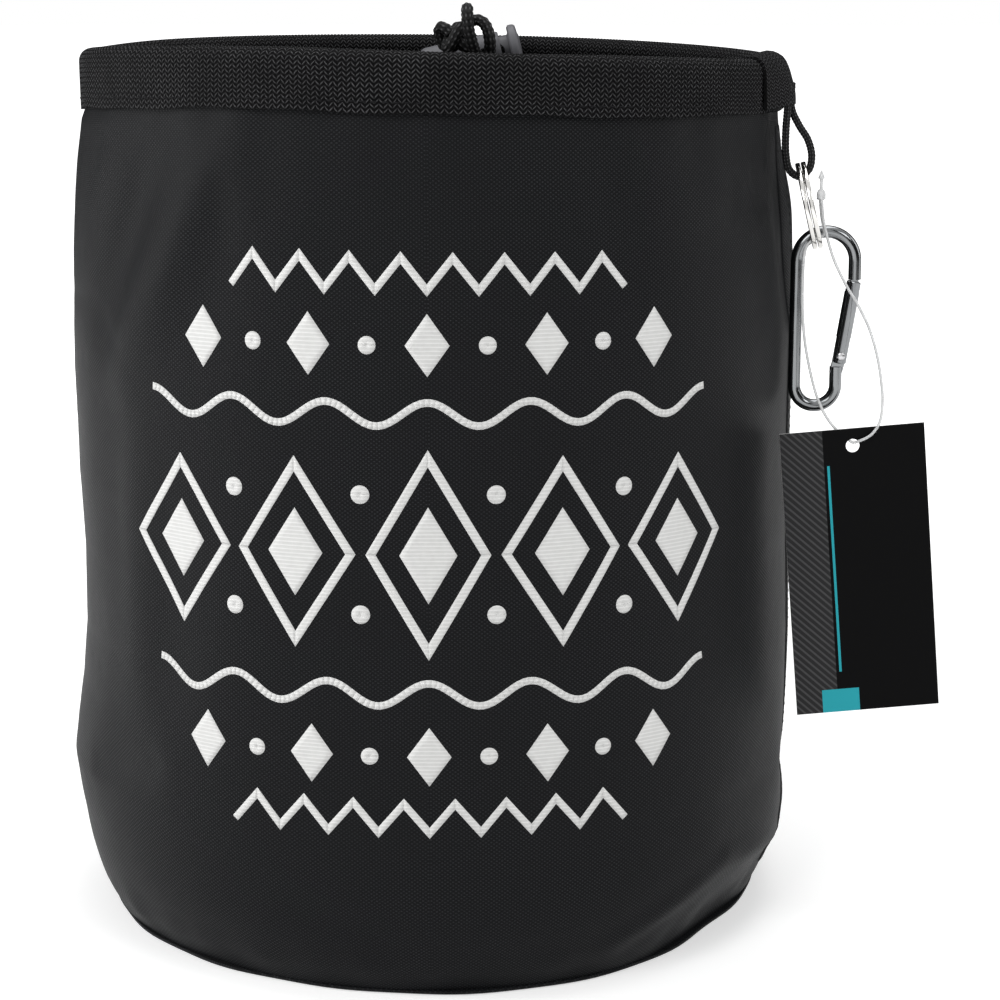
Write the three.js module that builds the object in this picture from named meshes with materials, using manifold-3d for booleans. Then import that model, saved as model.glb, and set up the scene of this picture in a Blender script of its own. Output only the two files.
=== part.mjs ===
// Peg bag: a round drawstring bag of coated cloth with a webbing rim, a cord lock inside the mouth,
// and a snap hook hanging on a split ring from a sewn cord loop, with a card tag on the ring.
// Millimetres, +Z up, +X to the right of the printed front, -Y towards the viewer of that front.
// The origin is the middle of the flat base, on the surface that the bag stands on.

import * as THREE from 'three';
import { mergeVertices } from 'three/addons/utils/BufferGeometryUtils.js';
import Module from 'manifold-3d';

const wasm = await Module();
wasm.setup();

// Driving dimensions of the bag
const RIM_RADIUS = 116;
const BAG_HEIGHT = 285;
const BASE_DRAW_IN = 9;
const HEEL_DRAW_IN = 2.6;
const HEEL_HEIGHT = 11.5;
const FLANK_BULGE = 2.3;
const FLANK_HEIGHT = 26;
const BELLY_BULGE = 4.3;
const BELLY_HEIGHT = 52;
const WAIST_BULGE = 1.8;
const WAIST_HEIGHT = 150;
const FABRIC = 1.4;
const BASE_CLOTH = 1.6;
const BASE_LIP = 2.4;
const WALL_STEPS = 22;
const WALL_SEGMENTS = 72;
const ROUND_SEGMENTS = 48;

// Soft shape of the filled bag: how far the cloth stands out down its left and right side, as points
// of height and reach, then a flattened front, a heel pushed out on the left, and folds, each between
// two points given as degrees round the bag and height
const LEFT_BULGE = [
  [0, 0], [14.5, 0.6], [33, 1.8], [51, 3.5], [77.5, 0.2], [95.5, -0.9], [121.5, -0.3],
  [148, 1.6], [180, 1.9], [207, 1.2], [232, 2.2], [250, 3.1], [263, 0.4],
];
const RIGHT_BULGE = [
  [0, 0], [14.5, -0.8], [33, -1.4], [51, -2.6], [95, -1], [150, -0.7], [207, -1], [235, 0.4], [250, 0],
];
const SIDE_SPREAD = 42;
const FRONT_FLATTENING = 1.8;
const FRONT_SPREAD = 30;
const FRONT_RISE = [20, 70];
const FRONT_FALL = [200, 255];
const HEEL_PUSH = 2.2;
const HEEL_PUSH_ANGLE = -72;
const HEEL_PUSH_SPREAD = 20;
const HEEL_PUSH_FALL = [4, 34];
const RIM_FADE = 6;
const FOLDS = [
  { from: [-45, 258], to: [-60, 205], width: 11, rise: -4.2 },
  { from: [-33, 250], to: [-52, 190], width: 11, rise: 2.8 },
  { from: [-50, 200], to: [-49, 70], width: 11, rise: 1.3 },
  { from: [112, 230], to: [136, 180], width: 10, rise: -1.8 },
  { from: [150, 150], to: [172, 90], width: 12, rise: 1.4 },
  { from: [-110, 140], to: [-128, 90], width: 12, rise: -1.6 },
  { from: [-150, 220], to: [-168, 150], width: 11, rise: 1.5 },
];
const FOLD_END = 0.35;

// Driving dimensions of the webbing rim, the drawcord and the lapped webbing end
const TAPE = 1.6;
const BAND_HEIGHT = 20;
const DRAWCORD = 4;
const LOOP_CORD = 2.3;
const LAP_START = 58;
const LAP_END = 84;
const LAP_RISE = 2.4;
const LAP_BRIDGE = 2;

// Clearances
const FIT = 0.3;
const SEWN_GAP = 0.4;

// Driving dimensions of the cord lock
const LOCK_DIAMETER = 14;
const LOCK_WALL = 1.7;
const LOCK_CLOSED_LENGTH = 23;
const LOCK_OPEN_LENGTH = 6.7;
const LOCK_ROUNDING = 3;
const LOCK_TILT = 13;
const LOCK_INSET = 5;
const LOCK_DROP = 3.5;
const LOCK_SIDE = 15;
const CORD_SPACING = 4.5;
const PLUNGER_TRAVEL = 3;
const PLUNGER_HEAD_DIAMETER = 16.4;
const PLUNGER_HEAD = 4;
const PLUNGER_STEM = 9;
const PLUNGER_EDGE = 1.4;
const LOCK_SPRING_WIRE = 0.9;
const LOCK_SPRING_TURNS = 6;

// Driving dimensions of the hanging hardware
const HANG_ANGLE = 72;
const LOOP_DROP = 20.6;
const RING_STANDOFF = 2.4;
const LOOP_SLACK = 1;
const RING_DIAMETER = 28;
const RING_WIRE = 2;
const RING_COIL = 1.3;
const RING_COIL_PITCH = 1.8;
const RING_MOUTH = 57;
const RING_JOG_START = 320;
const RING_JOG_END = 351;
const RING_COIL_END = 671;
const RING_LEAN = 13.3;
const HOOK_ROD = 4;
const HOOK_TOP_BEND = 9.2;
const HOOK_TAIL_BEND = 6.6;
const HOOK_SPINE = 40;
const HOOK_HANG_OFFSET = 3;
const HOOK_NOSE = 6;
const HOOK_TAIL = 6;
const HOOK_TONGUE = 1.8;
const NOSE_REACH = 3;
const NOSE_WIDTH = 2.4;
const RIVET_OUT = 1.3;
const RIVET_UP = 3.6;
const GATE_DIAMETER = 4.8;
const GATE_BORE = 3;
const GATE_FOOT = 2.4;
const GATE_END_WALL = 2;
const FORK_DEPTH = 6;
const RIVET_DIAMETER = 2;
const RIVET_HEAD = 3;
const RIVET_HEAD_HEIGHT = 0.5;
const PUSH_PIN_LENGTH = 4.5;
const GATE_SPRING_WIRE = 0.5;
const GATE_SPRING_TURNS = 7;

// Driving dimensions of the tag
const TAG_WIDTH = 46;
const TAG_HEIGHT = 93;
const TAG_CARD = 0.5;
const TAG_HOLE = 4.4;
const TAG_HOLE_INSET = 5.6;
const TAG_TILT = 4.9;
const TAG_STRAND = 0.9;
const TAG_SLACK = 0.8;
const TAG_HEAD_DIAMETER = 2.8;
const TAG_SOCKET = 3.4;
const TAG_BARB = 6.5;
const TAG_HEAD_HEIGHT = 9.2;

// Routes of the cords, in millimetres from the point that carries each one
// Drawcord ends from the hole in the middle of the lock
const TAIL_LEFT_ROUTE = [
  [-2.2, 7.5, -0.5], [-2.2, 0, -0.5], [-2.2, -9.5, -0.5], [-2.3, -15, -0.1], [-2.9, -20.5, 1.6],
  [-3.9, -24, 5], [-5, -25.6, 9.5], [-5.6, -25.2, 13.8], [-5.6, -22.5, 16.8], [-5.6, -19.7, 14.8],
  [-5.6, -19.3, 12.2],
];
const TAIL_RIGHT_ROUTE = [
  [2.2, 7.5, 0.5], [2.2, 0, 0.5], [2.2, -9.5, 0.5], [2.4, -13.6, 2.2], [2.3, -15.4, 6.2],
  [1.4, -14.8, 9.8], [-0.6, -13.4, 12.2], [-3.2, -12.8, 12.7], [-5.8, -14.7, 10.3],
];
const KNOT_PLACE = [-10.2, -17.7, 6.5];
const KNOT_SIZE = [14, 11.2, 11.2];
// Drawcord where it leaves its channel, from the same point
const LEAVE_LEFT_ROUTE = [
  [-8.2, 16, 3.1], [-5.2, 14.2, 2.2], [-3, 12, 0.5], [-2.2, 9.9, -0.5], [-2.2, 7.9, -0.5],
];
const LEAVE_RIGHT_ROUTE = [
  [10, 13.9, 3.2], [6.6, 13.3, 2.3], [3.5, 11.7, 1.3], [2.2, 9.9, 0.5], [2.2, 7.9, 0.5],
];
const CHANNEL_FREE_LEFT = 12;
const CHANNEL_FREE_RIGHT = 14;
const CHANNEL_STOPS = 64;
// Hanging loop from the middle of its two legs at the lower edge of the lap
const LOOP_ROUTE = [
  [-0.9, -2.7, 8], [-0.9, -2.7, 1], [-1.2, -1.8, -7], [-0.9, -1, -14], [0.4, -0.4, -18.8], [3.4, 0, -20.8],
  [6.5, 0.1, -18.8], [7.4, 0.5, -14.5], [6.2, 1.5, -9.5], [3.4, 2.3, -5], [1, 2.7, 0.2], [0.9, 2.7, 8],
];
// Nylon strand of the tag from the lowest point inside the ring
const STRAND_ROUTE = [
  [-0.2, -6.6, 14], [0.5, -6.1, 8.7], [1.4, -5.3, 4.6], [1.3, -4.9, 2.9], [-0.2, -4.8, 2],
  [-2.1, -4.8, 1.2], [-3.7, -4.9, -0.3], [-4.5, -5, -3.3], [-4.9, -5.6, -14.1], [-4.6, -6.3, -23.7],
  [-3.4, -7.1, -33.6], [0.1, -8.5, -47.8], [3.2, -9.5, -54.3], [6.7, -10.2, -58.6], [9.7, -10.6, -60.9],
  [11.5, -11.8, -62.2], [13.4, -13.2, -61.4], [16.9, -13.1, -59.6], [19.7, -12.5, -55.7],
  [20.6, -11.6, -48.8], [20.2, -10.7, -43.3], [18.7, -9.7, -34.6], [16.1, -8.7, -26.2],
  [12.5, -7.9, -18.9], [8.4, -7.3, -12.2], [4.5, -7.2, -4.3], [1.9, -7.6, 3.7], [0.7, -8.1, 8.7],
  [0.2, -7.8, 14],
];
const STRAND_HOLE_STEP = 15;

// Values worked out from the driving dimensions
const baseRadius = RIM_RADIUS - BASE_DRAW_IN;
const heelRadius = RIM_RADIUS - HEEL_DRAW_IN;
const flankRadius = RIM_RADIUS + FLANK_BULGE;
const bellyRadius = RIM_RADIUS + BELLY_BULGE;
const waistRadius = RIM_RADIUS + WAIST_BULGE;
const channelRadius = DRAWCORD / 2 + SEWN_GAP;
const rollRadius = channelRadius + TAPE;
const channelRing = RIM_RADIUS - rollRadius;
const channelHeight = BAG_HEIGHT - rollRadius;
const bandFoot = BAG_HEIGHT - BAND_HEIGHT;
const wallTopRadius = RIM_RADIUS - TAPE - SEWN_GAP;
const innerLegOutside = wallTopRadius - FABRIC - SEWN_GAP;
const innerLegInside = innerLegOutside - TAPE;
const legTop = channelHeight - rollRadius - DRAWCORD / 2 - SEWN_GAP;
const lapPocket = LOOP_CORD + 2 * SEWN_GAP;
const lapInside = RIM_RADIUS + lapPocket;
const lapOutside = lapInside + TAPE;
const lockRadius = LOCK_DIAMETER / 2;
const lockBore = lockRadius - LOCK_WALL;
const lockPlace = new THREE.Vector3(LOCK_SIDE, 0, channelHeight - LOCK_DROP);
lockPlace.y = rimInsideAt(LOCK_SIDE) - LOCK_INSET - lockRadius;
const cordPair = CORD_SPACING + DRAWCORD;
const hangRing = RIM_RADIUS + lapPocket / 2;
const hangPlace = around(HANG_ANGLE, hangRing, bandFoot);
const lean = radians(RING_LEAN);
const ringInside = RING_DIAMETER / 2 - RING_WIRE;
const ringDown = new THREE.Vector3(Math.sin(lean), 0, -Math.cos(lean));
const ringHang = LOOP_DROP - LOOP_CORD / 2 - LOOP_SLACK;
const ringReach = WAIST_BULGE + RING_STANDOFF;
const ringTop = hangPlace.clone().add(new THREE.Vector3(ringReach, 0, -ringHang));
const ringPlace = ringTop.clone().addScaledVector(ringDown, ringInside);
const ringFloor = ringPlace.clone().addScaledVector(ringDown, ringInside);
const ringHalfWidth = (RING_COIL + RING_COIL_PITCH) / 2;
const rodRadius = HOOK_ROD / 2;
const bendInside = HOOK_TOP_BEND - rodRadius;
const hookReach = HOOK_HANG_OFFSET + ringHalfWidth;
const hookHang = Math.sqrt(bendInside ** 2 - hookReach ** 2) + ringHalfWidth * Math.sin(lean) - FIT;
const hookPlace = ringFloor.clone().add(new THREE.Vector3(HOOK_HANG_OFFSET, 0, -hookHang));
const spineX = -HOOK_TOP_BEND;
const tailX = spineX + 2 * HOOK_TAIL_BEND;
const noseEnd = -HOOK_NOSE;
const tailEnd = HOOK_TAIL - HOOK_SPINE;
const rivetPlace = new THREE.Vector3(tailX + RIVET_OUT, 0, tailEnd + RIVET_UP);
const gateLean = Math.atan2(HOOK_TOP_BEND - rivetPlace.x, noseEnd - rivetPlace.z);
const gateLength = Math.hypot(HOOK_TOP_BEND - rivetPlace.x, noseEnd - rivetPlace.z) - 2 * FIT;
const forkGap = HOOK_TONGUE + 2 * FIT;
const boreTop = gateLength - NOSE_REACH - GATE_END_WALL;

function radians(angle) {
  return THREE.MathUtils.degToRad(angle);
}

function degrees(angle) {
  return THREE.MathUtils.radToDeg(angle);
}

// A point round the bag: 0 degrees is the front, 90 degrees the right side
function around(angle, radius, height) {
  const turn = radians(angle);
  return new THREE.Vector3(radius * Math.sin(turn), -radius * Math.cos(turn), height);
}

// Depth of the inside of the rim's roll at a distance to the side
function rimInsideAt(side) {
  return Math.sqrt((channelRing - rollRadius) ** 2 - side ** 2);
}

// Closed mesh to solid, solid to mesh
function solidOf(geometry) {
  const bare = geometry.clone();
  bare.deleteAttribute('normal');
  bare.deleteAttribute('uv');
  const merged = mergeVertices(bare, 1e-4);
  return new wasm.Manifold(new wasm.Mesh({
    numProp: 3,
    vertProperties: new Float32Array(merged.attributes.position.array),
    triVerts: new Uint32Array(merged.index.array),
  }));
}

function geometryOf(solid) {
  const mesh = solid.getMesh();
  const geometry = new THREE.BufferGeometry();
  geometry.setAttribute('position', new THREE.BufferAttribute(new Float32Array(mesh.vertProperties), 3));
  geometry.setIndex(new THREE.BufferAttribute(new Uint32Array(mesh.triVerts), 1));
  geometry.computeVertexNormals();
  return geometry;
}

function join(first, ...others) {
  return geometryOf(others.reduce((sum, next) => sum.add(solidOf(next)), solidOf(first)));
}

function cut(body, ...tools) {
  return geometryOf(tools.reduce((rest, tool) => rest.subtract(solidOf(tool)), solidOf(body)));
}

function common(first, second) {
  return geometryOf(solidOf(first).intersect(solidOf(second)));
}

// A closed profile of [radius, height] points turned round Z, its points running anticlockwise
function turned(profile, segments = ROUND_SEGMENTS) {
  const points = profile.map(([radius, height]) => new THREE.Vector2(radius, height));
  if (profile[0][0] > 0) points.push(points[0].clone());
  return new THREE.LatheGeometry(points, segments).rotateX(Math.PI / 2);
}

// Points on an arc of a profile, angles in degrees
function arc(x, y, radius, from, to, steps) {
  return Array.from({ length: steps + 1 }, (unused, i) => {
    const turn = radians(from + ((to - from) * i) / steps);
    return [x + radius * Math.cos(turn), y + radius * Math.sin(turn)];
  });
}

function polygon(points) {
  return new THREE.Shape(points.map(([x, y]) => new THREE.Vector2(x, y)));
}

function roundShape(diameter, sides) {
  return polygon(arc(0, 0, diameter / 2, 0, 360 - 360 / sides, sides - 1));
}

// A round bar along a curve
function bar(curve, diameter, sides, steps) {
  return new THREE.ExtrudeGeometry(roundShape(diameter, sides), {
    steps,
    bevelEnabled: false,
    extrudePath: curve,
  });
}

function smooth(points) {
  return new THREE.CatmullRomCurve3(points, false, 'centripetal');
}

function routeCurve(route) {
  return smooth(route.map((point) => new THREE.Vector3(...point)));
}

// A smooth curve whose steps fall on its own points, close together in the bends
class StopCurve extends THREE.CatmullRomCurve3 {
  constructor(points) {
    super(points, false, 'centripetal');
  }

  getPointAt(u, target) {
    return this.getPoint(u, target);
  }

  getTangentAt(u, target) {
    return this.getTangent(u, target);
  }
}

// A wound wire round Z, from height 0 up to its length
class Winding extends THREE.Curve {
  constructor(radius, turns, length) {
    super();
    this.radius = radius;
    this.turns = turns;
    this.length = length;
  }

  getPoint(t, target = new THREE.Vector3()) {
    const turn = 2 * Math.PI * this.turns * t;
    return target.set(this.radius * Math.cos(turn), this.radius * Math.sin(turn), this.length * t);
  }
}

function spring(diameter, wire, turns, length) {
  const winding = new Winding((diameter - wire) / 2, turns, length - wire);
  return bar(winding, wire, 5, turns * 8).translate(0, 0, wire / 2);
}

// A solid through closed sections of equal point counts, flat at both ends
function loft(sections) {
  const count = sections[0].length;
  const triangles = [];
  for (let i = 0; i + 1 < sections.length; i += 1) {
    for (let j = 0; j < count; j += 1) {
      const next = (j + 1) % count;
      const [a, b, c, d] = [i * count + j, i * count + next, (i + 1) * count + next, (i + 1) * count + j];
      triangles.push(a, b, c, a, c, d);
    }
  }
  const last = (sections.length - 1) * count;
  for (let j = 1; j + 1 < count; j += 1) {
    triangles.push(0, j + 1, j, last, last + j, last + j + 1);
  }
  const geometry = new THREE.BufferGeometry();
  geometry.setAttribute('position', new THREE.Float32BufferAttribute(sections.flat(2), 3));
  geometry.setIndex(triangles);
  geometry.computeVertexNormals();
  return geometry;
}

// An outline in X and Z given an even thickness about Y
function plate(shape, thickness) {
  const slab = new THREE.ExtrudeGeometry(shape, { depth: thickness, bevelEnabled: false });
  return slab.translate(0, 0, -thickness / 2).rotateX(Math.PI / 2);
}

function boxBetween(low, high) {
  const size = high.map((value, i) => value - low[i]);
  const middle = high.map((value, i) => (value + low[i]) / 2);
  return new THREE.BoxGeometry(...size).translate(...middle);
}

// Soft shape of the bag's wall
function bulgeAt(points, height) {
  const next = points.findIndex(([mark]) => mark > height);
  if (next < 0) return points.at(-1)[1];
  const [[low, from], [high, to]] = [points[next - 1], points[next]];
  return THREE.MathUtils.mapLinear(height, low, high, from, to);
}

// The turn from one direction round the bag to another, from -180 to 180 degrees
function turnBetween(from, to) {
  return THREE.MathUtils.euclideanModulo(to - from + 180, 360) - 180;
}

// 1 at a direction round the bag, falling off to either side
function nearAngle(angle, middle, spread) {
  return Math.exp(-((turnBetween(middle, angle) / spread) ** 2));
}

function foldRise({ from, to, width, rise }, angle, height) {
  const across = radians(turnBetween(from[0], angle)) * RIM_RADIUS;
  const point = new THREE.Vector2(across, height - from[1]);
  const run = new THREE.Vector2(radians(to[0] - from[0]) * RIM_RADIUS, to[1] - from[1]);
  const share = THREE.MathUtils.clamp(point.dot(run) / run.lengthSq(), 0, 1);
  const ends = FOLD_END + (1 - FOLD_END) * Math.sin(Math.PI * share);
  return rise * ends * Math.exp(-((point.distanceTo(run.multiplyScalar(share)) / width) ** 2));
}

function swell(angle, height) {
  const { smoothstep } = THREE.MathUtils;
  const front = smoothstep(height, ...FRONT_RISE) * (1 - smoothstep(height, ...FRONT_FALL));
  const heel = 1 - smoothstep(height, ...HEEL_PUSH_FALL);
  const out = bulgeAt(LEFT_BULGE, height) * nearAngle(angle, -90, SIDE_SPREAD)
    + bulgeAt(RIGHT_BULGE, height) * nearAngle(angle, 90, SIDE_SPREAD)
    - FRONT_FLATTENING * front * nearAngle(angle, 0, FRONT_SPREAD)
    + HEEL_PUSH * heel * nearAngle(angle, HEEL_PUSH_ANGLE, HEEL_PUSH_SPREAD)
    + FOLDS.reduce((sum, fold) => sum + foldRise(fold, angle, height), 0);
  return out * (1 - smoothstep(height, bandFoot - RIM_FADE, bandFoot));
}

// Bag: the wall bulges above the base and narrows into the rim
function wallPanel() {
  const outside = new THREE.SplineCurve([
    new THREE.Vector2(baseRadius, BASE_CLOTH + FIT),
    new THREE.Vector2(heelRadius, HEEL_HEIGHT),
    new THREE.Vector2(flankRadius, FLANK_HEIGHT),
    new THREE.Vector2(bellyRadius, BELLY_HEIGHT),
    new THREE.Vector2(waistRadius, WAIST_HEIGHT),
    new THREE.Vector2(waistRadius, (WAIST_HEIGHT + bandFoot) / 2),
    new THREE.Vector2(wallTopRadius, bandFoot),
  ]).getSpacedPoints(WALL_STEPS).map((point) => [point.x, point.y]);
  const top = channelHeight - channelRadius - 2 * SEWN_GAP;
  outside.push([wallTopRadius, top]);
  const inside = outside.map(([radius, height]) => [radius - FABRIC, height]).reverse();
  const wall = turned([...outside, ...inside], WALL_SEGMENTS);
  const place = wall.attributes.position;
  for (let i = 0; i < place.count; i += 1) {
    const [x, y, height] = [place.getX(i), place.getY(i), place.getZ(i)];
    const scale = 1 + swell(degrees(Math.atan2(x, -y)), height) / Math.hypot(x, y);
    place.setXY(i, x * scale, y * scale);
  }
  return geometryOf(solidOf(wall));
}

function basePanel() {
  const edge = baseRadius + BASE_LIP;
  const half = BASE_CLOTH / 2;
  return turned([[0, 0], [edge - half, 0], [edge, half], [edge - half, BASE_CLOTH], [0, BASE_CLOTH]]);
}

// Webbing folded over the rim round the drawcord, and the lapped end that holds the hanging loop
function bandProfile() {
  return [
    [RIM_RADIUS - TAPE, bandFoot],
    [RIM_RADIUS, bandFoot],
    ...arc(channelRing, channelHeight, rollRadius, 0, 225, 7),
    [innerLegInside, legTop],
    [innerLegInside, bandFoot],
    [innerLegOutside, bandFoot],
    [innerLegOutside, channelHeight - channelRadius - SEWN_GAP],
    ...arc(channelRing, channelHeight, channelRadius, 270, 0, 6),
  ];
}

function lapProfile(pocketRadius) {
  const middle = channelRing;
  const top = BAG_HEIGHT + LAP_RISE;
  const insideFace = innerLegInside - TAPE;
  return [
    [pocketRadius, bandFoot],
    [lapOutside, bandFoot],
    [lapOutside, channelHeight],
    [(lapOutside + RIM_RADIUS) / 2, BAG_HEIGHT + LAP_RISE / 3],
    [middle + TAPE / 2, top],
    [middle - rollRadius, BAG_HEIGHT + LAP_RISE / 3],
    [middle - rollRadius - TAPE, channelHeight],
    [insideFace, legTop - SEWN_GAP],
    [insideFace, bandFoot],
    [innerLegInside + TAPE / 4, bandFoot],
    [innerLegInside + TAPE / 4, legTop - SEWN_GAP],
    [middle - rollRadius + TAPE / 2, channelHeight],
    [middle, BAG_HEIGHT - TAPE / 2],
    [RIM_RADIUS - TAPE / 2, channelHeight],
    [pocketRadius, channelHeight - SEWN_GAP],
  ];
}

// The part of a turned solid between two directions round the bag
function sector(geometry, fromDegrees, toDegrees) {
  const reach = 2 * RIM_RADIUS;
  const rim = arc(0, 0, reach, fromDegrees - 90, toDegrees - 90, 4);
  const wedge = new THREE.ExtrudeGeometry(polygon([[0, 0], ...rim]), {
    depth: 2 * BAG_HEIGHT,
    bevelEnabled: false,
  });
  return common(geometry, wedge);
}

// Route of the drawcord: out of the buttonhole, round the channel and back out beside itself
function drawcordRoute() {
  const leave = (route) => route.map((point) => new THREE.Vector3(...point).add(lockPlace));
  const first = 180 - degrees(Math.asin((LOCK_SIDE + CHANNEL_FREE_RIGHT) / channelRing));
  const last = -180 - degrees(Math.asin((LOCK_SIDE - CHANNEL_FREE_LEFT) / channelRing));
  const channel = Array.from({ length: CHANNEL_STOPS + 1 }, (unused, i) => (
    around(first + ((last - first) * i) / CHANNEL_STOPS, channelRing, channelHeight)
  ));
  return [...leave(LEAVE_RIGHT_ROUTE).reverse(), ...channel, ...leave(LEAVE_LEFT_ROUTE)];
}

function drawcord() {
  const route = drawcordRoute();
  return bar(new StopCurve(route), DRAWCORD, 8, route.length - 1);
}

// Buttonhole in the inner face of the rim where both ends of the drawcord come out
function buttonhole() {
  const hole = DRAWCORD + 2 * FIT;
  const route = drawcordRoute();
  const bent = LEAVE_LEFT_ROUTE.length + 2;
  const beyond = new THREE.Vector3(0, -DRAWCORD, 0);
  const right = [route[0].clone().add(beyond), ...route.slice(0, bent)];
  const left = [...route.slice(-bent), route[route.length - 1].clone().add(beyond)];
  const tool = (stops) => bar(new StopCurve(stops), hole, 10, stops.length - 1);
  return join(tool(right), tool(left));
}

function rimWebbing() {
  const lap = sector(turned(lapProfile(lapInside)), LAP_START, LAP_END);
  const bridge = sector(turned(lapProfile(RIM_RADIUS - TAPE / 2)), LAP_END - LAP_BRIDGE, LAP_END);
  return cut(join(turned(bandProfile()), lap, bridge), buttonhole());
}

// Cord lock: a barrel with a cross hole for both cord ends, a plunger with a longer cross hole, a spring
function oblong(length, height, depth) {
  const half = (length - height) / 2;
  const outline = [...arc(half, 0, height / 2, -90, 90, 6), ...arc(-half, 0, height / 2, 90, 270, 6)];
  return plate(polygon(outline), depth);
}

function alongX(geometry) {
  return geometry.rotateY(Math.PI / 2);
}

function lockBody() {
  const left = -LOCK_CLOSED_LENGTH;
  const floor = left + LOCK_WALL;
  const barrel = alongX(turned([
    [0, left],
    ...arc(lockRadius - LOCK_ROUNDING, left + LOCK_ROUNDING, LOCK_ROUNDING, -90, 0, 4),
    [lockRadius, LOCK_OPEN_LENGTH],
    [lockBore, LOCK_OPEN_LENGTH],
    [lockBore, floor],
    [0, floor],
  ], 22));
  const hole = oblong(cordPair + 2 * FIT, DRAWCORD + 2 * FIT, 2 * LOCK_DIAMETER);
  return cut(barrel, hole);
}

function lockPlunger() {
  const stem = lockBore - FIT;
  const head = PLUNGER_HEAD_DIAMETER / 2;
  const seat = LOCK_OPEN_LENGTH + PLUNGER_TRAVEL + FIT;
  const body = alongX(turned([
    [0, -PLUNGER_STEM],
    [stem - PLUNGER_EDGE, -PLUNGER_STEM],
    [stem, PLUNGER_EDGE - PLUNGER_STEM],
    [stem, seat],
    [head - PLUNGER_EDGE / 2, seat],
    ...arc(head - PLUNGER_EDGE, seat + PLUNGER_HEAD / 2, PLUNGER_EDGE, 0, 90, 3),
    [head / 2, seat + PLUNGER_HEAD],
    [0, seat + PLUNGER_HEAD],
  ], 22));
  const slotLength = cordPair + 2 * FIT + PLUNGER_TRAVEL;
  const slot = oblong(slotLength, DRAWCORD + 2 * FIT, 2 * LOCK_DIAMETER);
  return cut(body, slot.translate(PLUNGER_TRAVEL / 2, 0, 0));
}

function lockSpring() {
  const start = LOCK_WALL + FIT - LOCK_CLOSED_LENGTH;
  const length = -PLUNGER_STEM - FIT - start;
  const diameter = 2 * (lockBore - FIT);
  return alongX(spring(diameter, LOCK_SPRING_WIRE, LOCK_SPRING_TURNS, length)).translate(start, 0, 0);
}

function drawcordKnot() {
  const size = KNOT_SIZE.map((value) => value / 2);
  return new THREE.SphereGeometry(1, 16, 10).scale(...size);
}

// Split ring of flat wire: two coils side by side with a short jog between them
function splitRing() {
  const jogStart = radians(RING_JOG_START);
  const jogEnd = radians(RING_JOG_END);
  const end = radians(RING_COIL_END);
  const mouth = radians(RING_MOUTH);
  const steps = 56;
  const halfCoil = RING_COIL / 2;
  const halfWire = RING_WIRE / 2;
  const chamfer = RING_COIL / 4;
  const middle = RING_DIAMETER / 2 - halfWire;
  const outline = [
    [halfCoil, halfWire - chamfer], [halfCoil - chamfer, halfWire],
    [chamfer - halfCoil, halfWire], [-halfCoil, halfWire - chamfer],
    [-halfCoil, chamfer - halfWire], [chamfer - halfCoil, -halfWire],
    [halfCoil - chamfer, -halfWire], [halfCoil, chamfer - halfWire],
  ];
  const sections = [];
  for (let i = 0; i <= steps; i += 1) {
    const turn = (end * i) / steps;
    const side = (THREE.MathUtils.smoothstep(turn, jogStart, jogEnd) - 0.5) * RING_COIL_PITCH;
    sections.push(outline.map(([across, out]) => [
      side + across,
      (middle + out) * Math.cos(turn + mouth),
      (middle + out) * Math.sin(turn + mouth),
    ]));
  }
  return loft(sections);
}

// Snap hook in its own frame: the middle of the top bend is at the origin
function hookCurve() {
  const path = new THREE.CurvePath();
  const at = (x, z) => new THREE.Vector3(x, 0, z);
  const bend = (x, z, radius, from, to, steps) => new THREE.CatmullRomCurve3(
    arc(x, z, radius, from, to, steps).map(([px, pz]) => at(px, pz)),
  );
  path.add(new THREE.LineCurve3(at(HOOK_TOP_BEND, noseEnd), at(HOOK_TOP_BEND, 0)));
  path.add(bend(0, 0, HOOK_TOP_BEND, 0, 180, 16));
  path.add(new THREE.LineCurve3(at(spineX, 0), at(spineX, -HOOK_SPINE)));
  path.add(bend(spineX + HOOK_TAIL_BEND, -HOOK_SPINE, HOOK_TAIL_BEND, 180, 360, 14));
  path.add(new THREE.LineCurve3(at(tailX, -HOOK_SPINE), at(tailX, tailEnd)));
  return path;
}

function carabinerBody() {
  const rod = bar(hookCurve(), HOOK_ROD, 12, 52);
  const tongueOutline = [
    [tailX - rodRadius, tailEnd - HOOK_TONGUE],
    [tailX + rodRadius, tailEnd - HOOK_TONGUE],
    ...arc(rivetPlace.x, rivetPlace.z, rodRadius, 0, 180, 8),
  ];
  const tongue = plate(polygon(tongueOutline), HOOK_TONGUE);
  const nose = boxBetween(
    [HOOK_TOP_BEND - NOSE_WIDTH / 2, -HOOK_TONGUE / 2, noseEnd - NOSE_REACH],
    [HOOK_TOP_BEND + NOSE_WIDTH / 2, HOOK_TONGUE / 2, noseEnd + HOOK_TONGUE / 2],
  );
  const eye = rivetEye().translate(rivetPlace.x, 0, rivetPlace.z);
  return cut(join(rod, tongue, nose), eye);
}

function rivetEye() {
  const radius = RIVET_DIAMETER / 2 + FIT;
  return new THREE.CylinderGeometry(radius, radius, 2 * GATE_DIAMETER, 20);
}

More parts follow.
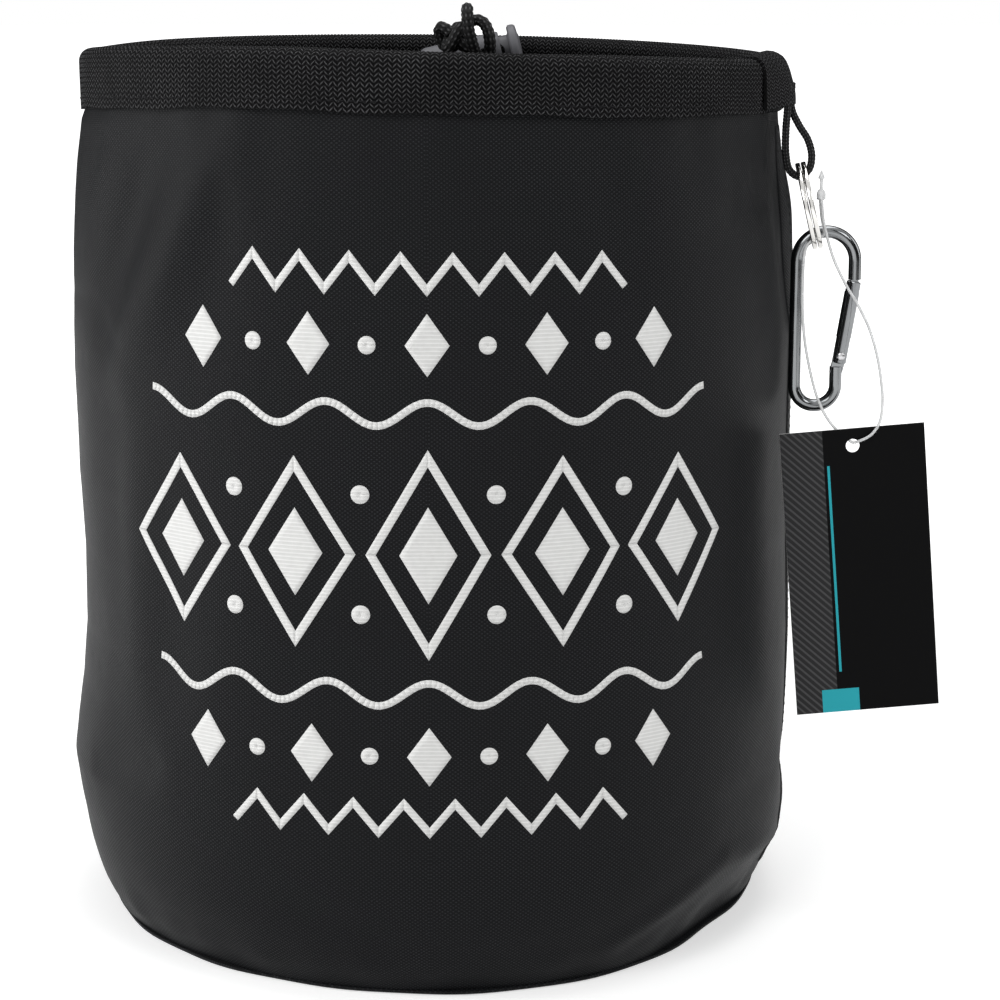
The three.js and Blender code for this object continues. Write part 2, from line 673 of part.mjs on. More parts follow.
// Gate in its own frame: the rivet at the origin, the gate running up Z
function carabinerGate() {
  const radius = GATE_DIAMETER / 2;
  const tube = new THREE.CylinderGeometry(radius, radius, gateLength + GATE_FOOT, 20);
  tube.rotateX(Math.PI / 2).translate(0, 0, (gateLength - GATE_FOOT) / 2);
  const bore = new THREE.CylinderGeometry(GATE_BORE / 2, GATE_BORE / 2, boreTop + 2 * GATE_FOOT, 20);
  bore.rotateX(Math.PI / 2).translate(0, 0, boreTop / 2 - GATE_FOOT);
  const fork = boxBetween(
    [-GATE_DIAMETER, -forkGap / 2, -2 * GATE_FOOT],
    [GATE_DIAMETER, forkGap / 2, FORK_DEPTH],
  );
  const noseSlot = boxBetween(
    [-GATE_DIAMETER, -forkGap / 2, gateLength - NOSE_REACH - 2 * FIT],
    [GATE_DIAMETER, forkGap / 2, gateLength + 1],
  );
  return cut(tube, bore, fork, noseSlot, rivetEye());
}

function gateRivet() {
  const half = GATE_DIAMETER / 2 + FIT / 3;
  const pin = RIVET_DIAMETER / 2;
  const head = RIVET_HEAD / 2;
  const end = half + RIVET_HEAD_HEIGHT;
  return turned([
    [0, -end], [head * 0.7, -end], [head, -half - RIVET_HEAD_HEIGHT / 2], [head, -half], [pin, -half],
    [pin, half], [head, half], [head, half + RIVET_HEAD_HEIGHT / 2], [head * 0.7, end], [0, end],
  ], 14).rotateX(Math.PI / 2);
}

function gatePushPin() {
  const radius = GATE_BORE / 2 - FIT;
  const foot = rodRadius + FIT;
  return turned([
    [0, foot], [radius - 0.5, foot], [radius, foot + 0.5],
    [radius, foot + PUSH_PIN_LENGTH], [0, foot + PUSH_PIN_LENGTH],
  ], 16);
}

function gateSpring() {
  const start = rodRadius + PUSH_PIN_LENGTH + 2 * FIT;
  const length = boreTop - FIT - start;
  return spring(GATE_BORE - 2 * FIT, GATE_SPRING_WIRE, GATE_SPRING_TURNS, length).translate(0, 0, start);
}

// Tag in its own frame: the middle of its hole at the origin, the card hanging down Z
function swingTag() {
  const half = TAG_WIDTH / 2;
  const top = TAG_HOLE_INSET;
  const foot = top - TAG_HEIGHT;
  const card = polygon([[-half, foot], [half, foot], [half, top], [-half, top]]);
  card.holes.push(new THREE.Path(roundShape(TAG_HOLE, 20).getPoints()));
  return plate(card, TAG_CARD);
}

function tagLoopHead() {
  const radius = TAG_HEAD_DIAMETER / 2;
  const neck = TAG_STRAND / 2;
  return turned([
    [0, 0], [radius, 0], [radius, TAG_SOCKET - radius], [neck, TAG_SOCKET],
    [neck, TAG_BARB], [radius * 0.75, TAG_BARB], [0, TAG_HEAD_HEIGHT],
  ], 14);
}

// Materials and the assembly
const finishes = {
  cloth: { color: 0x26272a, roughness: 0.75, metalness: 0 },
  webbing: { color: 0x1d1d20, roughness: 0.85, metalness: 0 },
  braid: { color: 0x161618, roughness: 0.9, metalness: 0 },
  plastic: { color: 0x4a4a4e, roughness: 0.5, metalness: 0 },
  steel: { color: 0xc9c9cc, roughness: 0.2, metalness: 1 },
  aluminium: { color: 0x50545a, roughness: 0.3, metalness: 1 },
  card: { color: 0x111113, roughness: 0.4, metalness: 0 },
  nylon: { color: 0xe8ecef, roughness: 0.2, metalness: 0 },
};

function piece(name, geometry, finish) {
  const mesh = new THREE.Mesh(geometry, new THREE.MeshStandardMaterial(finishes[finish]));
  mesh.name = name;
  return mesh;
}

function groupAt(place, ...pieces) {
  const group = new THREE.Group();
  group.position.copy(place);
  group.add(...pieces);
  return group;
}

const bag = new THREE.Group();
bag.add(
  piece('wall_panel', wallPanel(), 'cloth'),
  piece('base_panel', basePanel(), 'cloth'),
  piece('rim_webbing', rimWebbing(), 'webbing'),
  piece('drawcord', drawcord(), 'braid'),
);

const knot = piece('drawcord_knot', drawcordKnot(), 'braid');
knot.position.set(...KNOT_PLACE);
const cordEnds = groupAt(
  lockPlace,
  piece('drawcord_tail_left', bar(routeCurve(TAIL_LEFT_ROUTE), DRAWCORD, 10, 16), 'braid'),
  piece('drawcord_tail_right', bar(routeCurve(TAIL_RIGHT_ROUTE), DRAWCORD, 10, 16), 'braid'),
  knot,
);

const lock = groupAt(
  lockPlace,
  piece('lock_body', lockBody(), 'plastic'),
  piece('lock_plunger', lockPlunger(), 'plastic'),
  piece('lock_spring', lockSpring(), 'steel'),
);
lock.rotation.y = -radians(LOCK_TILT);

const loop = groupAt(hangPlace, piece('hang_loop', bar(routeCurve(LOOP_ROUTE), LOOP_CORD, 8, 26), 'braid'));

const ring = groupAt(ringPlace, piece('split_ring', splitRing(), 'steel'));
ring.rotation.y = -lean;

const gate = groupAt(
  rivetPlace,
  piece('carabiner_gate', carabinerGate(), 'aluminium'),
  piece('gate_spring', gateSpring(), 'steel'),
  piece('gate_push_pin', gatePushPin(), 'steel'),
);
gate.rotation.y = gateLean;
const rivet = piece('gate_rivet', gateRivet(), 'steel');
rivet.position.copy(rivetPlace);
const hook = groupAt(hookPlace, piece('carabiner_body', carabinerBody(), 'aluminium'), rivet, gate);

const tagCard = piece('swing_tag', swingTag(), 'card');
const [holeX, holeY, holeZ] = STRAND_ROUTE[STRAND_HOLE_STEP];
tagCard.position.set(holeX, holeY, holeZ - TAG_HOLE / 2 + TAG_STRAND / 2 + TAG_SLACK);
tagCard.rotation.y = -radians(TAG_TILT);
const strandStart = new THREE.Vector3(...STRAND_ROUTE[0]);
const strandEnd = new THREE.Vector3(...STRAND_ROUTE[STRAND_ROUTE.length - 1]);
const head = piece('tag_loop_head', tagLoopHead(), 'nylon');
head.position.copy(strandStart).lerp(strandEnd, 0.5);
head.position.z += FIT;
const tag = groupAt(
  ringFloor,
  tagCard,
  piece('tag_loop', bar(routeCurve(STRAND_ROUTE), TAG_STRAND, 8, 62), 'nylon'),
  head,
);

const pegBag = new THREE.Group();
pegBag.add(bag, cordEnds, lock, loop, ring, hook, tag);

export default pegBag;
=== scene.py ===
"""Looks of a peg bag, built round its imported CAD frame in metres: +Z up, the printed front towards -Y."""

import math

import bmesh
import bpy
import numpy as np
from mathutils import Matrix, Vector


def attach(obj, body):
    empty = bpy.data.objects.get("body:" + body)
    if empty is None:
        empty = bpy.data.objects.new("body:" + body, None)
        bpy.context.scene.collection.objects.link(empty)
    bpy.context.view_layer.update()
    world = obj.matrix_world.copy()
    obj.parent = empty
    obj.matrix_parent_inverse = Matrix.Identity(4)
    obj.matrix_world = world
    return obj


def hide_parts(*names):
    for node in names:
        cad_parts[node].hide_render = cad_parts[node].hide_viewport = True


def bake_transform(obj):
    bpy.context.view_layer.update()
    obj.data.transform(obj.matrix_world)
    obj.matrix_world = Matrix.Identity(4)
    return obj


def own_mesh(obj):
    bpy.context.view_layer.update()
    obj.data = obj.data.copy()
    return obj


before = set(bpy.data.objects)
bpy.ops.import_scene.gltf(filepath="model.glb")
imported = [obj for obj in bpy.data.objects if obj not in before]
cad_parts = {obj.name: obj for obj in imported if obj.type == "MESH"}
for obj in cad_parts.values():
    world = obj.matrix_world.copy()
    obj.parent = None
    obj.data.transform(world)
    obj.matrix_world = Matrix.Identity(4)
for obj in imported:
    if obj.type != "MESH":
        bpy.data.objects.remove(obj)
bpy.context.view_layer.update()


def millimetres(*points):
    """Points written in millimetres, in metres."""
    return np.array(points, float) / 1000


# Sizes shared with the CAD
RIM_RADIUS = 0.116
BAG_HEIGHT = 0.285
TAPE = 0.0016
ROLL_RADIUS = 0.004
BASE_RADIUS = 0.107
BASE_LIP = 0.0024
WALL_TOP = 0.2778
INNER_LEG_OUTSIDE = 0.1122
INNER_LEG_INSIDE = 0.1106
LEG_TOP = 0.2746
DRAWCORD = 0.004
LOOP_CORD = 0.0023
TAG_STRAND = 0.0009
LAP_END = 84
HANG_ANGLE = 72
LOCK_TILT = 13
RING_LEAN = 13.3
TAG_TILT = 4.9
# Sizes fitted closer to the photo than the solids: the wall from its base seam up, the start of the lap,
# the turn of the ring and the webbing that shows
BASE_CLOTH = 0.0012
WALL_PROFILE = [
    (0.1086, BASE_CLOTH), (0.1134, 0.0109), (0.1183, 0.026), (0.1203, 0.052), (0.1178, 0.150),
    (0.1178, 0.2075), (0.114, 0.265), (0.114, WALL_TOP),
]
LAP_START = 63.5
RING_YAW = -5.7
BAND_HEIGHT = 0.0174
# Threads of cloth and webbing, and strands of the round braid, whose pitch is counted in radii of the cord
CLOTH_ACROSS = 0.0016
CLOTH_UP = 0.0012
INK_ROW = 0.00115
WEAVE_COLUMN = 0.001325
WEAVE_THREAD = 0.0014
BRAID_STRANDS = 4
BRAID_PITCH = 1.9

band_foot = BAG_HEIGHT - BAND_HEIGHT
channel_ring = RIM_RADIUS - ROLL_RADIUS
channel_height = BAG_HEIGHT - ROLL_RADIUS

# Places from the CAD
LOCK_PLACE = np.array((0.015, 0.094953, 0.2775))
HANG_PLACE = np.array((0.111797, -0.036325, 0.265))
RING_PLACE = np.array((0.118757, -0.036325, 0.234872))
RING_FLOOR = np.array((0.121518, -0.036325, 0.223194))
HOOK_PLACE = np.array((0.124518, -0.036325, 0.217557))
RIVET_PLACE = np.array((0.129818, -0.036325, 0.187157))
TAG_HOLE_PLACE = np.array((0.133018, -0.048125, 0.160044))

# Routes of the cords in millimetres, close to the CAD's, from the place that carries each one
TAIL_LEFT_ROUTE = millimetres(
    (-2.2, 7.5, -0.5), (-2.2, 0, -0.5), (-2.2, -9.5, -0.5), (-2.3, -15, -0.1), (-2.9, -20.5, 1.6),
    (-3.9, -24, 5), (-5, -25.7, 9.5), (-5.5, -25.8, 13.4), (-5.6, -25.36, 15.05), (-5.6, -24.15, 16.26),
    (-5.6, -22.5, 16.7), (-5.6, -20.85, 16.26), (-5.6, -19.64, 15.05), (-5.6, -19.2, 13.4),
    (-5.6, -19.2, 11.8),
)
TAIL_RIGHT_ROUTE = millimetres(
    (2.2, 7.5, 0.5), (2.2, 0, 0.5), (2.2, -9.5, 0.5), (2.4, -13.6, 2.2), (2.3, -15.4, 6.2),
    (1.4, -14.8, 9.6), (-0.3, -13.8, 11.9), (-2.6, -13.2, 12.6), (-4.6, -13.6, 11.7), (-6, -14.9, 9.7),
)
LEAVE_LEFT_ROUTE = millimetres(
    (-8.2, 16, 3.1), (-5.2, 14.2, 2.2), (-3, 12, 0.5), (-2.2, 9.9, -0.5), (-2.2, 7.9, -0.5),
)
LEAVE_RIGHT_ROUTE = millimetres(
    (10, 13.9, 3.2), (6.6, 13.3, 2.3), (3.5, 11.7, 1.3), (2.2, 9.9, 0.5), (2.2, 7.9, 0.5),
)
LOOP_ROUTE = millimetres(
    (-0.9, -2.7, 8), (-0.9, -2.7, 1), (-1.2, -1.8, -7), (-0.9, -1, -14), (0.4, -0.4, -18.8),
    (3.4, 0, -20.8), (6.5, 0.1, -18.8), (7.4, 0.5, -14.5), (6.2, 1.5, -9.5), (3.4, 2.3, -5),
    (1, 2.7, 0.2), (0.9, 2.7, 8),
)
STRAND_ROUTE = millimetres(
    (-0.2, -6.6, 14), (0.5, -6.1, 8.7), (1.4, -5.3, 4.6), (1.3, -4.9, 2.9), (-0.2, -4.8, 2),
    (-2.1, -4.8, 1.2), (-3.7, -4.9, -0.3), (-4.5, -5, -3.3), (-4.9, -5.6, -14.1), (-4.6, -6.3, -23.7),
    (-3.4, -7.1, -33.6), (0.1, -8.5, -47.8), (3.2, -9.5, -54.3), (6.7, -10.2, -58.6),
    (9.7, -10.6, -60.9), (11.5, -11.8, -62.2), (13.4, -13.2, -61.4), (16.9, -13.1, -59.6),
    (19.7, -12.5, -55.7), (20.6, -11.6, -48.8), (20.2, -10.7, -43.3), (18.7, -9.7, -34.6),
    (16.1, -8.7, -26.2), (12.5, -7.9, -18.9), (8.4, -7.3, -12.2), (4.5, -7.2, -4.3), (1.9, -7.6, 3.7),
    (0.7, -8.1, 8.7), (0.2, -7.8, 14),
)
KNOT_PLACE = np.array((-0.0102, -0.0177, 0.0065))
KNOT_SIZE = np.array((0.014, 0.0112, 0.0112))


# Curves and meshes

def turned(turn, radius, height):
    """Points round the bag at turns in radians: 0 is the front."""
    return np.stack(np.broadcast_arrays(radius * np.sin(turn), -radius * np.cos(turn), height), axis=-1)


def around(angle, radius, height):
    """A point round the bag: 0 degrees is the front, 90 degrees the right side."""
    return turned(math.radians(angle), radius, height)


def smooth_step(value, low, high):
    share = np.clip((np.asarray(value, float) - low) / (high - low), 0, 1)
    return share * share * (3 - 2 * share)


def spline(points, step):
    """A centripetal curve through the points, as the CAD's routes, at about this spacing."""
    knots = [np.array(point, float) for point in points]
    knots = [2 * knots[0] - knots[1], *knots, 2 * knots[-1] - knots[-2]]
    line = []
    for before, start, end, after in zip(knots, knots[1:], knots[2:], knots[3:]):
        first = np.linalg.norm(start - before) ** 0.5
        middle = np.linalg.norm(end - start) ** 0.5
        last = np.linalg.norm(after - end) ** 0.5
        leave = (start - before) / first - (end - before) / (first + middle) + (end - start) / middle
        arrive = (end - start) / middle - (after - start) / (middle + last) + (after - end) / last
        count = max(2, math.ceil(np.linalg.norm(end - start) / step))
        for t in np.arange(count) / count:
            line.append(
                (2 * t**3 - 3 * t**2 + 1) * start
                + (t**3 - 2 * t**2 + t) * leave * middle
                + (3 * t**2 - 2 * t**3) * end
                + (t**3 - t**2) * arrive * middle
            )
    line.append(knots[-2])
    return np.array(line)


def lengths(line):
    """Length along a line up to each of its points."""
    return np.concatenate(([0], np.cumsum(np.linalg.norm(np.diff(line, axis=0), axis=1))))


def arc(x, y, radius, start, end, steps):
    turns = np.radians(np.linspace(start, end, steps + 1))
    return [(x + radius * math.cos(t), y + radius * math.sin(t)) for t in turns]


def unit(vectors):
    return vectors / np.linalg.norm(vectors, axis=-1, keepdims=True)


def new_object(name, vertices, faces, finish, corners=None, sharp=40):
    mesh = bpy.data.meshes.new(name)
    mesh.from_pydata([tuple(map(float, v)) for v in vertices], [], faces)
    if corners is not None:
        layer = mesh.uv_layers.new(name="weave")
        layer.data.foreach_set("uv", np.array(corners, np.float32).ravel())
    mesh.materials.append(finish)
    shape = bmesh.new()
    shape.from_mesh(mesh)
    bmesh.ops.recalc_face_normals(shape, faces=shape.faces)
    shape.to_mesh(mesh)
    shape.free()
    smooth(mesh, sharp)
    piece = bpy.data.objects.new(name, mesh)
    bpy.context.scene.collection.objects.link(piece)
    return piece


def smooth(mesh, sharp):
    mesh.polygons.foreach_set("use_smooth", [True] * len(mesh.polygons))
    mesh.set_sharp_from_angle(angle=math.radians(sharp))


def quads(first, total, count, wrap=False):
    """Faces between rows of points that close on themselves, from vertex first on."""
    faces = []
    for i in range(total if wrap else total - 1):
        low, high = first + i * count, first + (i + 1) % total * count
        for j in range(count):
            beside = (j + 1) % count
            faces.append((low + j, low + beside, high + beside, high + j))
    return faces


def grid_mesh(name, rows, finish, across, along, wrap=False, caps=False, sharp=40):
    """A mesh from rows of points. Each row closes on itself, and wrap joins the last row to the first."""
    total, count, _ = rows.shape
    faces, corners = quads(0, total, count, wrap), []
    for i in range(total if wrap else total - 1):
        for j in range(count):
            corners += [
                (across[j], along[i]), (across[j + 1], along[i]),
                (across[j + 1], along[i + 1]), (across[j], along[i + 1]),
            ]
    if caps:
        for start in (0, (total - 1) * count):
            faces.append(tuple(range(start, start + count)))
            corners += [(across[j], along[0]) for j in range(count)]
    return new_object(name, rows.reshape(-1, 3), faces, finish, corners, sharp)


def frames(line):
    """Directions across a line that turn as little as they can."""
    ahead = unit(np.gradient(line, axis=0))
    side = np.cross(ahead[0], (0.31, 0.17, 0.93))
    sides = []
    for direction in ahead:
        side = unit(side - direction * side.dot(direction))
        sides.append(side)
    return np.array(sides), np.cross(ahead, np.array(sides))


def tube(name, line, radius, finish, sides=24, relief=None, rounded=True):
    """A bar along a line. relief gives a share of the radius at each turn and length."""
    across, up = frames(line)
    run = lengths(line)
    turns = np.arange(sides) / sides
    circle = np.stack((np.cos(2 * np.pi * turns), np.sin(2 * np.pi * turns)), axis=1)
    rows = []
    for i, centre in enumerate(line):
        swell = np.full(sides, radius)
        if relief is not None:
            swell = radius * (1 + relief(turns, run[i] / radius))
        ring = circle[:, :1] * across[i] + circle[:, 1:] * up[i]
        rows.append(centre + swell[:, None] * ring)
    if rounded:
        rows = end_caps(rows, line, radius)
    rows = np.array(rows)
    along = lengths(rows.mean(axis=1)) / radius
    return grid_mesh(name, rows, finish, np.append(turns, 1), along, caps=True)


def end_caps(rows, line, radius):
    """Round both ends of a tube off with two smaller rings each."""
    out_first = unit(line[0] - line[1])
    out_last = unit(line[-1] - line[-2])
    ends = [(0.8, 0.25), (0.45, 0.4)]
    first = [line[0] + (rows[0] - line[0]) * share + out_first * radius * reach for share, reach in ends]
    last = [line[-1] + (rows[-1] - line[-1]) * share + out_last * radius * reach for share, reach in ends]
    return [*first[::-1], *rows, *last]


def lathe(name, profile, finish, place, turn, sides=48, sharp=35):
    """A profile of (height, radius) points turned round local Z, then placed."""
    turns = np.arange(sides) / sides * 2 * np.pi
    rows = np.array([[(r * math.cos(t), r * math.sin(t), h) for t in turns] for h, r in profile])
    across = np.append(turns, 2 * np.pi) * max(r for _, r in profile)
    along = lengths(np.array(profile))
    piece = grid_mesh(name, rows, finish, across, along, caps=True, sharp=sharp)
    piece.data.transform(Matrix.Translation(Vector(place)) @ turn.to_4x4())
    return piece


def prism(name, outline, thickness, finish):
    """An outline in local X and Z with an even thickness about Y."""
    count = len(outline)
    front = [(x, -thickness / 2, z) for x, z in outline]
    back = [(x, thickness / 2, z) for x, z in outline]
    faces = [tuple(range(count)), tuple(range(count, 2 * count))]
    for j in range(count):
        beside = (j + 1) % count
        faces.append((j, beside, count + beside, count + j))
    return new_object(name, front + back, faces, finish, sharp=30)


def box_outline(low, high):
    return [(low[0], low[1]), (high[0], low[1]), (high[0], high[1]), (low[0], high[1])]


def carve(body, tools, operation="DIFFERENCE", sharp=35):
    """Cut tools from a piece, or join them to it."""
    for tool in tools:
        step = body.modifiers.new("carve", "BOOLEAN")
        step.object = tool
        step.operation = operation
        step.solver = "EXACT"
    bpy.context.view_layer.update()
    mesh = bpy.data.meshes.new_from_object(body.evaluated_get(bpy.context.evaluated_depsgraph_get()))
    body.modifiers.clear()
    body.data = mesh
    smooth(mesh, sharp)
    for tool in tools:
        bpy.data.objects.remove(tool)
    return body


def mount(piece, body, node=None):
    """The piece moves with a body and may stand for a CAD node, which it hides."""
    if node:
        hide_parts(node)
    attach(piece, body)


# Materials

class Shader:
    """A principled material and short calls that wire its nodes."""

    def __init__(self, name, **values):
        self.material = bpy.data.materials.new(name)
        self.material.use_nodes = True
        self.tree = self.material.node_tree
        self.out = self.tree.nodes["Principled BSDF"]
        for socket, value in values.items():
            self.out.inputs[socket.replace("_", " ")].default_value = value

    def node(self, kind, inputs=None, **settings):
        made = self.tree.nodes.new(kind)
        for name, value in settings.items():
            setattr(made, name, value)
        for key, value in (inputs or {}).items():
            self.put(made.inputs[key], value)
        return made

    def put(self, socket, value):
        if isinstance(value, bpy.types.NodeSocket):
            self.tree.links.new(value, socket)
        else:
            socket.default_value = value

    def feed(self, name, value):
        self.put(self.out.inputs[name], value)

    def math(self, operation, first, second=0.0):
        return self.node("ShaderNodeMath", {0: first, 1: second}, operation=operation).outputs[0]

    def times(self, first, second):
        return self.math("MULTIPLY", first, second)

    def plus(self, first, second):
        return self.math("ADD", first, second)

    def noise(self, vector, scale, detail=2.0):
        made = self.node("ShaderNodeTexNoise", {"Vector": vector, "Scale": scale, "Detail": detail})
        return made.outputs["Fac"]

    def coordinates(self, kind="Object"):
        return self.node("ShaderNodeTexCoord").outputs[kind]

    def axes(self, vector):
        return self.node("ShaderNodeSeparateXYZ", {"Vector": vector}).outputs

    def blend(self, share, low, high):
        made = self.node("ShaderNodeMix", data_type="RGBA")
        self.put(made.inputs["Factor"], share)
        self.put(made.inputs[6], (*low, 1) if isinstance(low, tuple) else low)
        self.put(made.inputs[7], (*high, 1) if isinstance(high, tuple) else high)
        return made.outputs[2]

    def between(self, share, low, high):
        made = self.node("ShaderNodeMapRange", {"Value": share, "To Min": low, "To Max": high})
        return made.outputs["Result"]

    def wave(self, length, pitch):
        return self.math("SINE", self.times(length, 2 * math.pi / pitch))

    def bump(self, height, distance, strength=1.0):
        made = self.node("ShaderNodeBump", {"Height": height, "Distance": distance, "Strength": strength})
        self.feed("Normal", made.outputs["Normal"])


def cloth_finish():
    """Coated plain weave: a chequer of thread crowns painted lighter as highlights, more so in patches that
    also vary its roughness.
    """
    s = Shader("cloth_black", Specular_IOR_Level=0.06)
    uv = s.coordinates("UV")
    x, y, _ = s.axes(uv)
    crowns = s.between(s.times(s.wave(x, CLOTH_ACROSS), s.wave(y, CLOTH_UP)), 0.0, 1.0)
    patches = s.noise(uv, 22, 4)
    grain = s.noise(uv, 900, 2)
    # Painted highlight: the thread crowns are lighter in colour, more so in patches and grain.
    lit = s.times(s.math("POWER", crowns, 1.6), s.plus(patches, s.times(grain, 0.5)))
    s.feed("Base Color", s.blend(lit, (0.0070, 0.0073, 0.0080), (0.0345, 0.0356, 0.0386)))
    s.feed("Roughness", s.between(s.math("SUBTRACT", patches, s.times(crowns, 0.3)), 0.40, 0.58))
    s.bump(s.plus(crowns, s.times(grain, 0.35)), 0.00014, 0.8)
    return s.material


def webbing_finish():
    """Herringbone webbing: slanting threads that turn over at every column."""
    s = Shader("webbing_black", Specular_IOR_Level=0.06)
    uv = s.coordinates("UV")
    across, along, _ = s.axes(uv)
    loose = s.times(s.noise(uv, 350, 1), 0.0007)
    slant = s.plus(s.math("PINGPONG", along, WEAVE_COLUMN), loose)
    threads = s.between(s.wave(s.plus(across, slant), WEAVE_THREAD), 0.0, 1.0)
    columns = s.between(s.math("COSINE", s.times(along, 2 * math.pi / WEAVE_COLUMN)), 1.0, 0.0)
    fuzz = s.noise(uv, 1800, 2)
    patches = s.noise(uv, 60, 3)
    # Painted highlight: the thread crowns, weighted along each column, are lighter in colour, more so in
    # patches and fuzz.
    crowns = s.times(threads, s.plus(s.times(columns, 0.6), 0.4))
    lit = s.times(s.math("POWER", crowns, 1.4), s.plus(patches, s.times(fuzz, 0.6)))
    s.feed("Base Color", s.blend(lit, (0.0025, 0.0025, 0.0028), (0.130, 0.130, 0.135)))
    s.feed("Roughness", s.between(fuzz, 0.6, 0.85))
    s.bump(s.plus(crowns, s.times(fuzz, 0.25)), 0.0009, 1.0)
    return s.material


def braid_finish():
    """Round braid: the crowns of crossing strands catch the light."""
    s = Shader("braid_black", Specular_IOR_Level=0.2)
    turn, along, _ = s.axes(s.coordinates("UV"))
    climb = s.math("DIVIDE", along, BRAID_PITCH)
    ring = s.times(turn, BRAID_STRANDS)
    strands = s.times(s.wave(s.plus(ring, climb), 1), s.wave(s.math("SUBTRACT", ring, climb), 1))
    fibres = s.noise(s.coordinates(), 2600, 3)
    crowns = s.between(strands, 0.0, 1.0)
    lit = s.times(s.times(crowns, crowns), s.plus(fibres, 0.3))
    s.feed("Base Color", s.blend(lit, (0.0035, 0.0035, 0.0038), (0.130, 0.130, 0.134)))
    s.feed("Roughness", s.between(fibres, 0.45, 0.8))
    s.bump(s.plus(crowns, fibres), 0.0003, 0.8)
    return s.material


def thread_finish():
    s = Shader("thread_black", Specular_IOR_Level=0.06)
    twist = s.noise(s.coordinates(), 4000, 1)
    s.feed("Base Color", s.blend(twist, (0.005, 0.005, 0.0056), (0.018, 0.018, 0.0195)))
    s.feed("Roughness", s.between(twist, 0.5, 0.8))
    return s.material


def print_finish():
    """Off-white ink that the rows of the weave show through."""
    s = Shader("print_white", Specular_IOR_Level=0.2)
    uv = s.coordinates("UV")
    _, y, _ = s.axes(uv)
    rows = s.between(s.wave(y, INK_ROW), 0.0, 1.0)
    worn = s.noise(uv, 500, 3)
    tone = s.plus(s.times(rows, 0.6), s.times(worn, 0.5))
    s.feed("Base Color", s.blend(tone, (0.58, 0.58, 0.57), (0.78, 0.78, 0.77)))
    s.feed("Roughness", s.between(worn, 0.6, 0.85))
    s.bump(rows, 0.00008, 0.6)
    return s.material


def plastic_finish(name, low, high, rough):
    """Moulded plastic with a fine spark-eroded grain."""
    s = Shader(name, Specular_IOR_Level=0.4)
    point = s.coordinates()
    grain = s.noise(point, 2600, 3)
    patches = s.noise(point, 120, 3)
    s.feed("Base Color", s.blend(patches, low, high))
    s.feed("Roughness", s.between(grain, rough - 0.1, rough + 0.1))
    s.bump(grain, 0.00004, 0.5)
    return s.material


def metal_finish(name, low, high, smoothest, roughest):
    """Metal with faint drawing marks and handling haze."""
    s = Shader(name, Metallic=1.0)
    point = s.coordinates()
    haze = s.noise(point, 140, 4)
    drawn = s.node("ShaderNodeMapping", {"Vector": point, "Scale": (1, 1, 0.08)}).outputs[0]
    marks = s.noise(drawn, 3500, 2)
    s.feed("Base Color", s.blend(haze, low, high))
    s.feed("Roughness", s.between(s.plus(haze, s.times(marks, 0.4)), smoothest, roughest))
    s.bump(marks, 0.00001, 0.4)
    return s.material


def nylon_finish():
    s = Shader("nylon_clear", Transmission_Weight=0.35, IOR=1.5, Specular_IOR_Level=0.5)
    haze = s.noise(s.coordinates(), 700, 3)
    s.feed("Base Color", s.blend(haze, (0.74, 0.75, 0.755), (0.90, 0.905, 0.91)))
    s.feed("Roughness", s.between(haze, 0.12, 0.34))
    return s.material


# Fields of the card from its hole, in metres across and up
STRIP_EDGE = -0.0095
HATCH_PITCH = 0.0024
BLOCK_SIDES = (-0.0145, -0.0025)
BLOCK_TOP = -0.0798
RULE_SIDES = (-0.0085, -0.0077)
RULE_ENDS = (-0.074, -0.006)
TEAL = (0.03, 0.36, 0.42)


def card_finish():
    """Laminated black card: a grey hatched strip, a teal block, and the white of its cut edge."""
    s = Shader("card_black", Specular_IOR_Level=0.04)
    turn = Matrix.Rotation(math.radians(-TAG_TILT), 3, "Y").inverted().to_euler()
    hole = tuple(TAG_HOLE_PLACE)
    moved = s.node("ShaderNodeVectorMath", {0: s.coordinates(), 1: hole}, operation="SUBTRACT")
    local = s.node("ShaderNodeVectorRotate", {"Vector": moved.outputs[0]}, rotation_type="EULER_XYZ")
    local.inputs["Rotation"].default_value = tuple(turn)
    x, _, z = s.axes(local.outputs[0])
    fleck = s.noise(local.outputs[0], 3000, 2)
    black = s.blend(fleck, (0.002, 0.002, 0.0022), (0.004, 0.004, 0.0043))
    hatch = s.between(s.wave(s.plus(x, z), HATCH_PITCH), 0.0, 1.0)
    grey = s.blend(s.math("GREATER_THAN", hatch, 0.45), (0.026, 0.026, 0.027), (0.066, 0.066, 0.068))
    strip = s.math("LESS_THAN", x, STRIP_EDGE)
    field = s.blend(strip, black, grey)
    low = s.math("LESS_THAN", z, BLOCK_TOP)
    block = s.times(low, inside(s, x, *BLOCK_SIDES))
    field = s.blend(block, field, TEAL)
    rule = s.times(inside(s, x, *RULE_SIDES), inside(s, z, *RULE_ENDS))
    field = s.blend(rule, field, TEAL)
    facing = s.math("ABSOLUTE", s.axes(s.node("ShaderNodeNewGeometry").outputs["True Normal"])[1])
    s.feed("Base Color", s.blend(s.math("LESS_THAN", facing, 0.5), field, (0.75, 0.75, 0.74)))
    s.feed("Roughness", s.between(fleck, 0.28, 0.42))
    return s.material


def inside(s, value, low, high):
    return s.times(s.math("GREATER_THAN", value, low), s.math("LESS_THAN", value, high))


cloth = cloth_finish()
webbing = webbing_finish()
braid = braid_finish()
thread = thread_finish()
ink = print_finish()
lock_plastic = plastic_finish("lock_grey", (0.085, 0.085, 0.094), (0.110, 0.110, 0.121), 0.5)
nickel = metal_finish("nickel_bright", (0.58, 0.57, 0.55), (0.72, 0.71, 0.69), 0.05, 0.16)
gunmetal = metal_finish("gunmetal_satin", (0.150, 0.156, 0.161), (0.235, 0.242, 0.247), 0.07, 0.18)
steel = metal_finish("steel_drawn", (0.50, 0.50, 0.51), (0.64, 0.64, 0.65), 0.2, 0.4)
nylon = nylon_finish()
card = card_finish()


# Camera, light and floor

